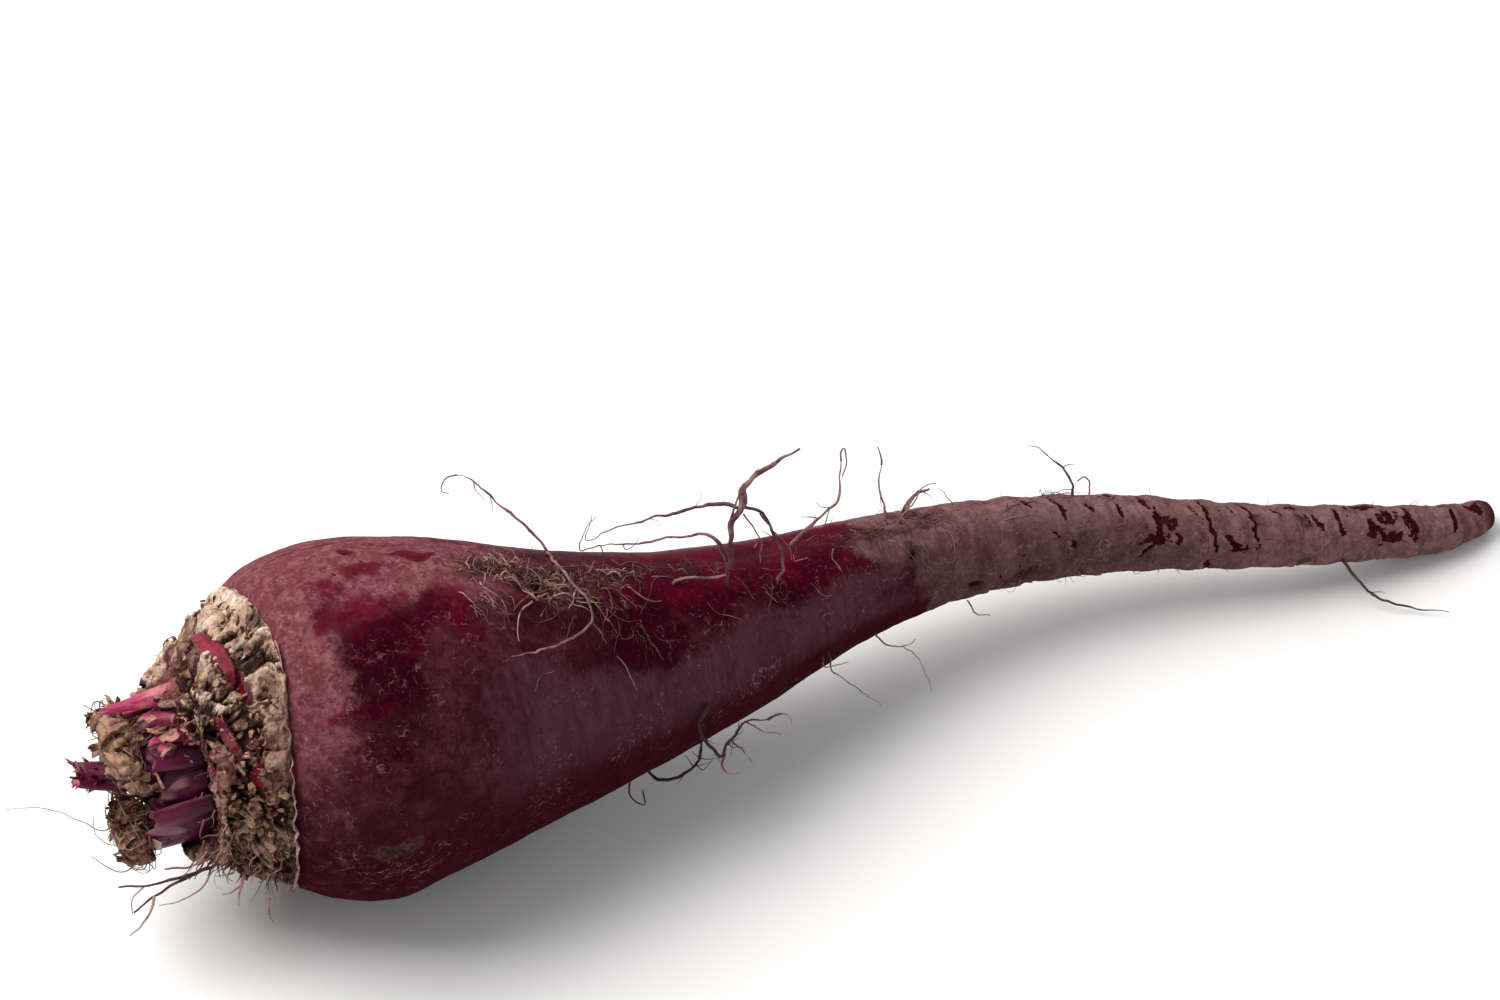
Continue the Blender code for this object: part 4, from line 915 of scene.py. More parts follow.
def rootlet_finish():
    skin = Finish("rootlet_finish", 0.2)
    patch = skin.noise(3, 4, 0.65)
    fleck = skin.noise(0.6, 3)
    pale = patch.ramp(0.4, 0.6).mix((152, 114, 108), (112, 78, 76))
    purple = patch.ramp(0.4, 0.62).mix((84, 54, 58), (84, 34, 50))
    purple = purple.coated((skin["draw"].ramp(0.75, 0.9), (50, 30, 36)))
    share = skin["draw"] + (-0.55 * skin["along"] + (patch - 0.5) * 0.9)
    base = share.ramp(0.1, 0.42).mix(pale, purple).coated((0.5 * fleck.ramp(0.5, 0.7), (70, 48, 42)))
    return skin.done(base, fleck.ramp(0.3, 0.7, 0.5, 0.75), (fleck, 0.12))


def fibre_finish():
    husk = Finish("fibre_finish", 0.12)
    patch = husk.noise(2.4, 4, 0.6)
    share = husk["draw"] + (patch - 0.5) * 0.9
    base = share.ramp(0.1, 0.5).mix((174, 136, 126), (116, 78, 74)).coated(
        (share.ramp(0.55, 0.85), (66, 36, 40)), (patch.ramp(0.52, 0.68, 0.0, 0.6), (56, 34, 32)))
    return husk.done(base, patch.ramp(0.3, 0.7, 0.6, 0.8), (patch, 0.1))


CROWN_ROWS_OUTSIDE, CROWN_ROWS_INSIDE, CROWN_COLUMNS = 166, 20, 500
# Where the crown's edge laps over the edge of the skin
CROWN_LAP = (-118.0, -115.7)
FLAKE_COUNT, SEAM_FLAKE_START, NEAR_WINDOW = 460, 330, 75


def crown_relief(x, angle):
    """Knobbly leaf scars in broken rows round the crown, as on the frame, their pits less deep."""
    along = (CROWN_OUTLINE[0, 0] - x) / SCAR_SPAN
    waver = 0.3 * np.sin(3 * angle + 1) + 0.22 * np.sin(5 * angle + 2.4)
    row = np.abs(np.sin(math.pi * (SCAR_ROWS * along + waver)))
    spots = np.stack([x / 4.6, 4.4 * np.cos(angle), 4.4 * np.sin(angle)], axis=-1)
    height = SCAR_DEPTH * (0.5 * row + 0.7 * ridged(spots, 1.0) - 0.85)
    return np.where(height < -0.7, -0.7 + 0.4 * (height + 0.7), height)


def crown_place(x, degrees, lift=0.0):
    """A point of the crown's outside at an angle in degrees; x counts as if its edge didn't climb."""
    angle = np.radians(degrees)
    outline = CROWN_OUTLINE[1:CROWN_RIM_ROW + 1]
    radius, share = (np.interp(-x, -outline[:, 0], outline[:, column]) for column in (1, 2))
    moved_x, moved_radius = climb_over(x, angle, radius, smooth_step(POCKET_FLOOR, CROWN_OUTLINE[1, 0], x))
    return around(moved_x, angle, moved_radius + share * crown_relief(x, angle) + lift)


def make_flakes(material):
    """Dry flaps and scales of old leaf bases that stand off the crown."""
    draw = random.Random(8)
    bunch = Bunch()
    for index in range(FLAKE_COUNT):
        at_seam = index >= SEAM_FLAKE_START
        degrees = draw.uniform(-70, 130) if index % 3 else draw.uniform(-180, 180)
        off_window = abs(math.degrees(angle_between(math.radians(degrees), WINDOW_ANGLE)))
        x = draw.uniform(-124.4 if off_window < NEAR_WINDOW else -129.0, -117.4)
        if at_seam:
            x = draw.uniform(-119.4, -116.6)
        elif x < -124.0 and draw.random() < 0.6:
            continue
        foot = crown_place(x, degrees, -0.5)
        out = unit(crown_place(x, degrees, 0.5) - foot)
        along = unit(crown_place(x - 1.0, degrees, -0.5) - foot)
        side = np.cross(out, along)
        heading = along * draw.gauss(0.5, 0.6) + side * draw.gauss(0, 0.9) + out * draw.uniform(0.0, 0.45)
        curl = -out * draw.uniform(0.3, 1.2) + side * draw.gauss(0, 0.5)
        length = draw.uniform(0.8, 3.2) * draw.uniform(0.6, 1.0) * (0.7 if at_seam else 1.0)
        width = length * (draw.uniform(0.4, 0.9) if draw.random() < 0.7 else 0.25)
        tint = draw.uniform(0.2, 0.8) - 0.3 * smooth_step(60, 100, degrees)
        add_shred(bunch, foot, heading, curl, length, width, draw, tint, 9, 7)
    bunch.piece("crown_flakes", "corky_crown", material)


# The grooves between the rings of leaf scars: angle in degrees and x
OUTER_GROOVE = (
    (-180, -95, -42, -20, -4, 8, 16, 24, 45, 60, 115, 180),
    (-120.4, -121.4, -122.4, -121.5, -121.1, -120.6, -120.4, -119.6, -119.4, -119.6, -120.8, -120.4),
)
INNER_GROOVE = (
    (-180, -60, 0, 20, 28, 33, 41, 48, 56, 64, 120, 180),
    (-125.6, -126.2, -126.0, -124.4, -123.0, -122.3, -121.8, -121.3, -121.5, -122.6, -125.0, -125.6),
)


def make_crown(material):
    """The corky crown: rings of cracked, crumpled leaf scars, broken away where the stalks show."""
    rows = np.concatenate([np.linspace(0, CROWN_RIM_ROW, CROWN_ROWS_OUTSIDE),
                           np.linspace(CROWN_RIM_ROW, len(CROWN_OUTLINE) - 1, CROWN_ROWS_INSIDE)[1:]])
    angle, x, radius, relief_share, within = ring_grid(
        CROWN_COLUMNS, *read_rows(CROWN_OUTLINE, rows), (rows > CROWN_RIM_ROW).astype(float))
    facing = np.degrees(angle_between(angle, 0.0))

    spots = np.stack([x, 24 * np.cos(angle), 24 * np.sin(angle)], axis=-1)
    shift = swirl(spots, 4.2, (1, 7, 13))
    warped = spots + 2.4 * shift + 0.6 * swirl(spots, 1.3, (2, 5, 9))
    gap, tone = plates(warped * (1.0, 0.55, 0.55), 4.6)
    small_gap, small_tone = plates(warped + 1.2 * shift[..., ::-1], 2.3, 5.0)
    gaping = smooth_step(-0.2, 0.3, perlin(spots, 5.0, 3.0))
    crevice = smooth_step(0.13, 0.01, gap) * (0.15 + 0.85 * gaping)
    crumbly = np.maximum(between(62, 92, 150, 178, facing), 0.4 * smooth_step(-90, -130, facing))
    loose = smooth_step(-0.25, 0.3, perlin(spots, 3.4, 9.0) + 0.6 * crumbly)
    split = smooth_step(0.22, 0.02, small_gap) * loose
    waver = 0.8 * perlin(spots, 5.0, 6.0) + 0.45 * perlin(spots, 1.8, 2.0)
    outer, inner = (bump(x - np.interp(facing, *groove) + waver, 0.6)
                    for groove in (OUTER_GROOVE, INNER_GROOVE))
    groove = np.maximum(outer * (0.4 + 0.6 * gaping), 0.85 * inner)
    lump = np.sqrt(np.clip(small_gap, 0.0, 1.0))
    creases = ridged(warped * (1.0, 0.6, 0.6), 1.3, 12.0)
    crumbs = np.abs(perlin(warped, 1.4, 8.0)) + 0.5 * np.abs(perlin(warped, 0.8, 3.0))
    fine = (0.9 * (tone - 0.5) - 1.1 * crevice - 1.2 * groove + 0.6 * (lump - 0.6)
            + 0.35 * (small_tone - 0.5))
    fine += 0.3 * creases + 0.8 * crumbly * (crumbs - 0.4) + 0.3 * rough(spots, 1.5, 5) - 0.5 * split
    fine *= 1.0 - 0.6 * bump(facing + 46, 24)
    relief = relief_share * crown_relief(x, angle) + np.minimum(3.0 * relief_share, 1.0) * fine

    off = np.abs(angle_between(angle, WINDOW_ANGLE)) + 0.13 * rough(spots, 3.4, 4)
    off += 0.07 * perlin(spots, 1.2, 4.0)
    above = x < WINDOW_TOP
    broken = 0.9 * smooth_step(WINDOW_SHUT, WINDOW_OPEN, off) * above
    moved_x, moved_radius = climb_over(x, angle, radius, smooth_step(POCKET_FLOOR, CROWN_OUTLINE[1, 0], x))
    lap = smooth_step(*CROWN_LAP, x) * (1 - within)
    moved_x = moved_x + lap * (0.8 + 0.4 * perlin(spots, 3.0, 8.0))
    bulge = 0.2 + 0.5 * perlin(spots, 3.0, 5.0) + 0.3 * perlin(spots, 1.2, 2.0)
    moved_radius = moved_radius + lap * bulge
    moved_x = np.where(above, x + (WINDOW_TOP - x) * broken, moved_x)
    moved_radius = np.where(above, radius, moved_radius)
    ragged = 0.6 * rough(spots * (0.4, 1, 1), 2.2, 4, 5.0) * smooth_step(-128, -131, x)
    ragged += broken * (0.8 * perlin(spots * (0.3, 1, 1), 2.4, 6.0) + 0.5 * rough(spots, 1.3, 4, 2.0))
    points = around(moved_x + ragged, angle, np.maximum(moved_radius + relief * (1 - 0.4 * broken), 0.05))

    crimson = np.maximum.reduce([
        outer * between(-24, -8, 20, 36, facing), 0.8 * inner * between(20, 30, 50, 64, facing),
        0.8 * outer * bump(facing - 58, 12) + 0.5 * inner * bump(facing + 60, 30)])
    fleshy = np.maximum.reduce([
        bump(facing - 54, 16) * smooth_step(-120.4, -122.4, x) * (0.6 + 0.5 * tone),
        0.6 * bump(facing + 26, 22) * smooth_step(-120.6, -123.4, x),
        bump(facing + 8, 22) * smooth_step(-124.8, -126.8, x), 0.5 * broken])
    bunch = Bunch()
    bunch.add(points, height=smooth_step(-1.4, 0.8, fine), tone=0.5 * tone + 0.5 * small_tone,
              tan=between(-110, -60, 4, 66, facing) + 0.3 * (tone - 0.5), crimson=crimson, fleshy=fleshy,
              crevice=np.maximum(np.maximum(crevice, 0.85 * split), 0.9 * groove), within=within,
              crumbly=crumbly, rim=lap, crease=creases)
    bunch.piece("crown_cork", "corky_crown", material, "crown")


def crown_finish():
    cork = Finish("crown_cork_finish", 0.1)
    height, tone = cork["height"], cork["tone"]
    patch = cork.noise(2.6, 6, 0.65, warp=1.5, warp_size=3)
    crumb = cork.noise(1.1, 6, 0.7, warp=0.6, warp_size=2)
    fleck = cork.noise(0.5, 4, 0.65)
    light = tone.ramp(0.25, 0.7).mix((220, 186, 160), (252, 232, 210))
    dull = tone.ramp(0.25, 0.75).mix((126, 91, 80), (176, 141, 124))
    # Painted shade in the valleys of the creases
    crease_shade = cork["crease"].ramp(0.3, 0.08) * patch.ramp(0.4, 0.55, 0.2, 1.0)
    hairline = cork.squiggles(1.9, 0.02, 0.44, warp=1.0) | cork.squiggles(1.1, 0.025, 0.48)
    specks = cork.dots(1.3, 0.36, 0.45, warp=0.8, warp_size=2) * cork["crumbly"]
    # deep and gap carry painted shade: darker in low places and in crevices
    deep = height + (crumb - 0.5) * 0.7
    gap = cork["crevice"] + (crumb - 0.5)
    pink = patch.ramp(0.4, 0.6).mix((176, 124, 114), (134, 70, 74))
    crimson = fleck.ramp(0.4, 0.62).mix((84, 8, 28), (126, 26, 46))
    base = cork["tan"].broken(patch, 1.4, 0.45, 0.25).mix(dull, light).coated(
        (0.6 * cork["crumbly"], (170, 140, 118)), (0.36 * patch.ramp(0.49, 0.6), (134, 97, 82)),
        (0.42 * crumb.ramp(0.52, 0.63), (92, 58, 50)),
        # painted highlight on the high lumps
        (fleck.ramp(0.52, 0.66) * height.ramp(0.4, 0.8, 0.0, 0.55), (214, 194, 172)),
        (0.6 * crease_shade, (66, 38, 34)), (0.6 * hairline, (62, 36, 32)), (0.7 * specks, (190, 172, 132)),
        # painted shade in low places and crevices
        (deep.ramp(0.42, 0.22, 0.0, 0.65), (84, 51, 44)), (deep.ramp(0.22, 0.0, 0.0, 0.85), (34, 15, 15)),
        (gap.ramp(0.5, 0.9, 0.0, 0.85), (42, 21, 19)),
        (0.8 * cork["fleshy"].broken(patch, 1.8, 0.6, 0.3), pink),
        (cork["crimson"].broken(crumb, 1.6, 0.5, 0.14), crimson),
        (cork["rim"] * crumb.ramp(0.45, 0.6, 0.0, 0.5), (156, 118, 108)),
        (0.85 * cork["within"], (58, 14, 28)))
    return cork.done(base, fleck.ramp(0.3, 0.7, 0.8, 0.95), (patch, 0.8), (crumb, 0.6), (fleck, 0.2))


STALK_SHAPE = ((-0.5, 0.0), (-0.36, 0.36), (0.0, 0.55), (0.36, 0.36), (0.5, 0.0), (0.26, -0.3),
               (0.0, -0.16), (-0.26, -0.3))
STALK_SWELL = ((0.0, 0.4, 0.75, 1.0), (1.0, 1.04, 0.94, 0.84))
# The cut face: share of the section, and how far it dips into the stalk
STALK_CUT = ((0.93, 0.12), (0.8, 0.5), (0.55, 0.9), (0.25, 1.0))

# Pink stalks along the top of the bunch, cut stubs beside them and the lowest stalks: foot, end, outward,
# width, thickness, tint, taper
EXTRA_STALKS = (
    ((-122.4, 2.2, 50.4), (-140.4, 3.4, 49.4), (0.0, -0.5, 1.0), 5.6, 2.6, 0.82, 0.75),
    ((-124.5, -2.2, 47.2), (-133.0, -1.2, 49.4), (0.1, -0.4, 1.0), 4.0, 2.0, 0.62, 0.3),
    ((-126.6, -3.2, 44.6), (-130.6, -5.6, 48.0), (0.2, 0.7, 0.7), 5.2, 3.2, 0.56, 0.0),
    ((-122.6, -4.6, 43.6), (-125.9, -7.2, 47.0), (0.2, 0.7, 0.7), 4.6, 3.2, 0.5, 0.0),
    ((-124.0, -1.2, 46.6), (-127.6, -3.2, 50.0), (0.2, 0.7, 0.7), 3.0, 2.2, 0.56, 0.0),
    ((-124.4, -11.2, 31.6), (-137.8, -9.2, 26.8), (0.0, -0.95, 0.1), 5.6, 2.8, 0.2, 0.2),
    ((-124.4, -10.2, 27.4), (-138.6, -7.4, 23.2), (0.0, -0.75, -0.6), 6.2, 3.0, 0.08, 0.15),
    ((-124.8, -5.6, 23.2), (-137.8, -3.2, 20.8), (0.0, -0.4, -0.9), 5.6, 2.8, 0.05, 0.15),
)


def add_stalk(bunch, foot, tip, outward, width, thickness, slant, draw, tint, sides=34, rows=30, taper=0.0):
    """One cut leaf stalk: ribbed and rounded outside, hollowed inside, with a dished cut end."""
    foot, tip = np.array(foot), np.array(tip)
    along = unit(tip - foot)
    out = unit(outward - along * along.dot(outward))
    across = np.cross(along, out)
    shape = smooth_loop(STALK_SHAPE, sides)
    turn = np.arange(sides) * TAU / sides
    ribs = 1.0 + 0.03 * np.cos(7 * turn + draw.uniform(0, TAU)) * (shape[:, 1] > 0)
    flat, deep = (shape * ribs[:, None]).T
    share = np.concatenate([np.linspace(0, 1, rows), np.ones(len(STALK_CUT))])[:, None]
    part, dip = (np.concatenate([np.full(rows, start), column])[:, None]
                 for start, column in zip((1.0, 0.0), np.array(STALK_CUT).T))
    swell = np.interp(share, *STALK_SWELL) * part * (1.0 - taper * share)
    bend = draw.uniform(-0.5, 0.5)
    twist = draw.uniform(-0.25, 0.25)
    centre = foot + (tip - foot) * share + across * (bend * np.sin(math.pi * share))
    cos, sin = np.cos(twist * share), np.sin(twist * share)
    sideways = (flat * cos * width + deep * sin * thickness) * swell
    outwards = (deep * cos * thickness - flat * sin * width * 0.4) * swell
    lift = slant * share * deep * thickness * swell + 0.5 * dip
    ragged = 0.5 * share ** 4 * np.sin(3 * turn + draw.uniform(0, TAU)) * part
    grid = (centre[:, None] + across * sideways[..., None] + out * outwards[..., None]
            - along * (lift + ragged)[..., None])
    grid = grid + 0.12 * out * perlin(grid * (0.25, 1, 1), 1.3, tint)[..., None]
    bunch.add(grid, draw=tint, along=share, cut=np.minimum(dip * 3, 1), edge=np.abs(flat) * 2.0 * part)


def add_shred(bunch, foot, heading, curl, length, width, draw, tint, rows=10, columns=7, **values):
    """One withered strip of leaf stalk: thin, crumpled, cupped and curled to a torn end."""
    steps = np.linspace(0, 1, rows)
    point, direction = np.array(foot, float), unit(np.array(heading, float))
    curl = np.array(curl, float)
    cup = draw.uniform(-0.9, 0.9)
    side = np.linspace(-1, 1, columns)
    loop = np.concatenate([side, side[::-1]])
    face = np.repeat((1.0, -1.0), columns)
    torn = np.array([draw.uniform(-1, 1) for _ in side])
    torn = np.concatenate([torn, torn[::-1]]) * 0.16 * length
    grid = []
    for share in steps:
        across = unit(np.cross(direction, curl))
        normal = np.cross(across, direction)
        half = 0.5 * width * np.interp(share, (0, 0.35, 0.8, 1.0), (1.0, 1.1, 0.9, 0.6))
        thick = 0.14 * (1.0 - 0.4 * share) * np.sqrt(np.clip(1.0 - 0.96 * loop ** 2, 0.0, 1.0)) * face
        bowl = cup * half * (loop ** 2 - 0.4)
        ragged = direction * (torn * smooth_step(0.5, 1.0, share))[:, None]
        grid.append(point + across * (half * loop)[:, None] + normal * (thick + bowl)[:, None] + ragged)
        direction = unit(direction + 0.15 * curl)
        point = point + direction * (length * 1.02 / rows)
    grid = np.array(grid)
    shift = draw.uniform(0, 50)
    crumple = swirl(grid, 1.9, (0, 9, 21), shift) + 0.4 * swirl(grid, 0.8, (3, 11, 27), shift)
    grid = grid + 0.7 * crumple * steps[:, None, None] ** 0.5
    bunch.add(grid, draw=tint, along=steps[:, None], **(values or {"fold": crumple[..., 0]}))


def make_stalks(material):
    """The bunch of cut stalks, laid out by the frame's own rule, with thin young ones between."""
    draw, fine = random.Random(11), random.Random(12)
    bunch = Bunch()
    axis = axis_point(BUNCH_FOOT)
    for index in range(STALK_COUNT):
        reach = math.sqrt((index + 0.5) / STALK_COUNT)
        angle = index * GOLDEN_ANGLE + 0.5
        radius = BUNCH_RADIUS * reach
        end = STALK_END + draw.uniform(0.0, 3.6) * reach
        foot = around(BUNCH_FOOT, angle, radius)
        tip = around(end, angle + draw.uniform(-0.1, 0.1), 0.93 * radius)
        size = draw.uniform(0.88, 1.08)
        top = float(bump(angle_between(angle, math.radians(-28)), 0.7)) * reach
        tint = min(1.0, 0.95 * top + fine.uniform(0.0, 0.3))
        add_stalk(bunch, foot, tip, foot - axis, STALK_WIDTH * size, STALK_THICKNESS * size, 0.5, fine,
                  tint)
    for index in range(YOUNG_STALKS):
        angle = index * GOLDEN_ANGLE + 1.7
        radius = 1.08 * BUNCH_RADIUS * math.sqrt((index + 0.5) / YOUNG_STALKS)
        foot = around(BUNCH_FOOT, angle, radius)
        tip = around(fine.uniform(-136.0, -131.5), angle, 0.95 * radius)
        add_stalk(bunch, foot, tip, foot - axis, fine.uniform(1.6, 3.0), fine.uniform(0.9, 1.5), 1.2, fine,
                  fine.uniform(0.0, 0.45), 18, 16)
    for foot, tip, outward, width, thickness, tint, taper in EXTRA_STALKS:
        add_stalk(bunch, foot, tip, outward, width, thickness, 1.3, fine, tint, taper=taper)
    for _ in range(CURLED_STRIPS):
        angle = fine.uniform(-0.9, 0.6)
        foot = around(fine.uniform(-130.5, -125.0), angle, fine.uniform(12.6, 15.0))
        out = unit(foot - axis)
        heading = (fine.uniform(-1.2, 0.2), *(0.8 * out[1:]))
        curl = -out * fine.uniform(0.3, 1.4) + jitter(fine, 0.6)
        add_shred(bunch, foot, heading, curl, fine.uniform(2.0, 5.0), fine.uniform(0.8, 2.6), fine,
                  fine.uniform(0.45, 0.9), cut=fine.choice((0.1, 0.7, 0.85, 0.95)), edge=0.0)
    # The core between the stalks' feet takes the painted shade of the stalk finish
    angle, x = ring_grid(60, np.linspace(BUNCH_FOOT + 0.5, BUNCH_CORE_END, 16))
    core = around(x, angle, BUNCH_CORE_RADIUS + 0.5 * np.sin(9 * angle))
    bunch.add(core, draw=0.0, along=0.0, cut=0.0, edge=0.0)
    bunch.piece("cut_stalks", "leaf_stalk", material, "leaf_stalks")


def make_torn_stalk(material):
    """One stalk torn off between the withered ends, its thin crimson wall ragged and curled back."""
    draw = random.Random(4)
    bunch = Bunch()
    foot, end, width, thickness = TORN_STALK
    foot, end = np.array(foot), np.array(end)
    add_stalk(bunch, foot, end, (0.0, -0.6, 0.8), 1.7 * width, 1.7 * thickness, 0.9, draw, 0.4)
    for _ in range(TORN_STRIPS):
        root = foot + (end - foot) * draw.uniform(0.55, 0.97) + (0, draw.uniform(-1.4, 1.4), 0)
        lean = np.array((draw.uniform(-1.0, -0.2), draw.uniform(-0.5, 0.8), draw.uniform(-0.8, 1.2)))
        tip = root + unit(lean) * draw.uniform(1.5, 4.6)
        add_stalk(bunch, root, tip, (0.2, 0.3, 1.0), draw.uniform(0.5, 2.0), 0.45, 1.0, draw,
                  draw.uniform(0.25, 0.8), 12, 10)
    bunch.piece("torn_stalk", "leaf_stalk", material)


def stalk_finish():
    stalk = Finish("stalk_finish", 0.22)
    draw, cut, along = stalk["draw"], stalk["cut"], stalk["along"]
    fibre = stalk.noise(0.5, 4, 0.6, stretch=(0.06, 1, 1))
    patch = stalk.noise(3.2, 4, 0.6, stretch=(0.4, 1, 1))
    deep = patch.ramp(0.4, 0.65).mix((74, 6, 42), (108, 14, 62))
    pink = patch.ramp(0.4, 0.62).mix((160, 38, 84), (196, 116, 124))
    # Painted highlights: pale facets on the outer parts of the deep purple stalks
    shine = along.ramp(0.3, 0.6) * draw.ramp(0.6, 0.4)
    facet_highlight = stalk.noise(4.5, 1, stretch=(0.4, 1, 1)).ramp(0.6, 0.66) * shine
    cut_tone = draw.ramp(0.3, 0.5).mix((112, 64, 72), (180, 132, 116))
    base = (draw + (patch - 0.5) * 0.5).ramp(0.5, 0.78).mix(deep, pink).coated(
        # painted light: the thin edges lighter, as if lit through
        (0.14 * stalk["edge"].ramp(0.85, 1.0), (132, 60, 80)),
        (0.14 * fibre.ramp(0.54, 0.7), (128, 70, 88)),
        # painted shade deep in the bunch, towards the stalks' feet
        (0.6 * facet_highlight, (158, 116, 124)), (along.ramp(0.5, 0.05, 0.0, 0.75), (38, 3, 18)),
        (cut * patch.ramp(0.3, 0.5, 0.6, 0.95), cut_tone))
    return stalk.done(base, (fibre + 0.5 * cut).ramp(0.3, 0.9, 0.3, 0.6), (fibre, 0.12))


def make_withered(name, place, replaced, tone, bridge, material):
    """A clump of withered stalk ends: a deeply creased husk with papery strips wrapped round it."""
    centre, half_sizes, seed = place
    centre, half_sizes = np.array(centre), np.array(half_sizes)
    draw, fine = random.Random(seed), random.Random(seed + 100)
    bunch = Bunch()
    longitude, latitude = ring_grid(HUSK_COLUMNS, np.linspace(0.02, math.pi - 0.02, HUSK_ROWS))
    ball = np.stack([-np.cos(latitude), np.sin(latitude) * np.cos(longitude),
                     np.sin(latitude) * np.sin(longitude)], axis=-1)
    lump = 1.06 + 0.3 * perlin(ball * 1.7 + (seed, 0, 0), 1.0)
    husk = centre + ball * half_sizes * lump[..., None]
    husk = husk + 0.8 * swirl(husk, 3.0, start=seed)
    folds = ridged(husk * (0.5, 1, 1), 2.7, seed)
    wrinkles = ridged(husk * (0.4, 1, 1), 1.15, seed + 5)
    dent = 0.9 * folds + 0.35 * wrinkles + 0.3 * rough(husk, 1.2, 4, seed) - 0.6
    bunch.add(husk + ball * dent[..., None], draw=tone, along=0.3, fold=0.7 * folds + 0.3 * wrinkles - 0.5)
    for index in range(SHRED_COUNT):
        angle = index * GOLDEN_ANGLE
        reach = math.sqrt((index + 0.5) / SHRED_COUNT)
        side = np.array((0.0, math.cos(angle), math.sin(angle)))
        foot = centre + (1.4 - 1.2 * reach, *(side[1:] * half_sizes[1:] * (0.45 + 0.5 * reach)))
        heading = (-1.0, *(0.45 * reach * side[1:]))
        curl = np.cross(side, (draw.uniform(-0.5, 0.5), 0, 0)) - side * draw.uniform(0.1, 0.9)
        curl = curl + (0.02, draw.uniform(-0.4, 0.4), draw.uniform(-0.4, 0.4))
        length = SHRED_LENGTH * draw.uniform(0.65, 1.05)
        width = SHRED_WIDTH * draw.uniform(0.6, 1.2)
        add_shred(bunch, foot, heading, curl, length, width, fine, tone + fine.uniform(-0.3, 0.3), 16, 11)
    for _ in range(WRAPPED_STRIPS):
        turn = fine.uniform(0, TAU)
        side = np.array((0.0, math.cos(turn), math.sin(turn)))
        foot = centre + (fine.uniform(0.0, 2.4), *(side[1:] * half_sizes[1:] * fine.uniform(0.8, 1.05)))
        heading = (fine.uniform(-1.0, 0.2), *(0.35 * side[1:]))
        curl = -0.6 * side + jitter(fine, 0.5)
        add_shred(bunch, foot, heading, curl, fine.uniform(2.0, 4.0), fine.uniform(0.5, 1.6), fine,
                  tone + fine.uniform(-0.35, 0.35), 9)
    for foot, heading in bridge:
        for _ in range(BRIDGE_STRIPS):
            start, way = foot + scatter(fine, 1.3), heading + scatter(fine, 0.35)
            add_shred(bunch, start, way, jitter(fine, 0.5), fine.uniform(3.0, 5.5), fine.uniform(0.6, 1.8),
                      fine, tone + fine.uniform(-0.3, 0.3))
    bunch.piece(name, "withered_leaf", material, replaced)


def husk_finish():
    husk = Finish("withered_finish", 0.1)
    fold = husk["fold"]
    patch = husk.noise(2.2, 6, 0.7)
    vein = husk.noise(0.45, 4, 0.65, stretch=(0.15, 1, 1))
    light = patch.ramp(0.4, 0.62).mix((186, 152, 128), (146, 110, 90))
    dark = patch.ramp(0.4, 0.62).mix((102, 68, 50), (62, 36, 27))
    # The folds add painted light and shade: lighter on their ridges, darker in their hollows
    share = husk["draw"] + (0.5 * fold + (patch - 0.5) * 1.2)
    tinge = husk.noise(3.4, 2).ramp(0.54, 0.68) * husk["along"].ramp(0.0, 0.6, 0.75, 0.25)
    base = share.ramp(0.25, 0.75).mix(dark, light).coated(
        (0.42 * vein.ramp(0.5, 0.66), (192, 156, 124)), (fold.ramp(-0.1, -0.6, 0.0, 0.8), (50, 30, 24)),
        (tinge, (124, 62, 62)))
    return husk.done(base, patch.ramp(0.3, 0.7, 0.7, 0.92), (vein, 0.2), (patch, 0.5))


# Crimson slivers of living tissue in the grooves between the scars: x and angle of each point, width, tint
SLIVERS = (
    (((-121.9, -24), (-121.5, -18), (-121.1, -4), (-120.6, 7), (-120.5, 14), (-121.0, 20)), 4.6, 0.6),
    (((-119.7, 12), (-119.4, 19), (-119.5, 28)), 1.5, 0.1),
    (((-123.1, 26), (-122.3, 32), (-121.8, 41), (-121.3, 48), (-121.6, 56)), 2.3, 0.4),
    (((-119.6, 39), (-119.4, 45), (-119.3, 51)), 1.1, 0.0),
    (((-121.8, -62), (-121.4, -54), (-122.0, -46)), 1.5, 0.4),
)
# The loose edge of dried skin along the crown's ring: angles, and its height
EDGE_START, EDGE_END, EDGE_FADE, EDGE_HEIGHT = 0.2, 2.7, 0.4, 0.6
EDGE_POINTS, EDGE_RADIUS = 420, 28
SLIVER_SIDES = 24


def softened(route, width=9):
    """A route with its small kinks averaged out."""
    padded = np.pad(route, ((width // 2, width // 2), (0, 0)), mode="edge")
    return np.stack([np.convolve(column, np.ones(width) / width, "valid") for column in padded.T], axis=1)


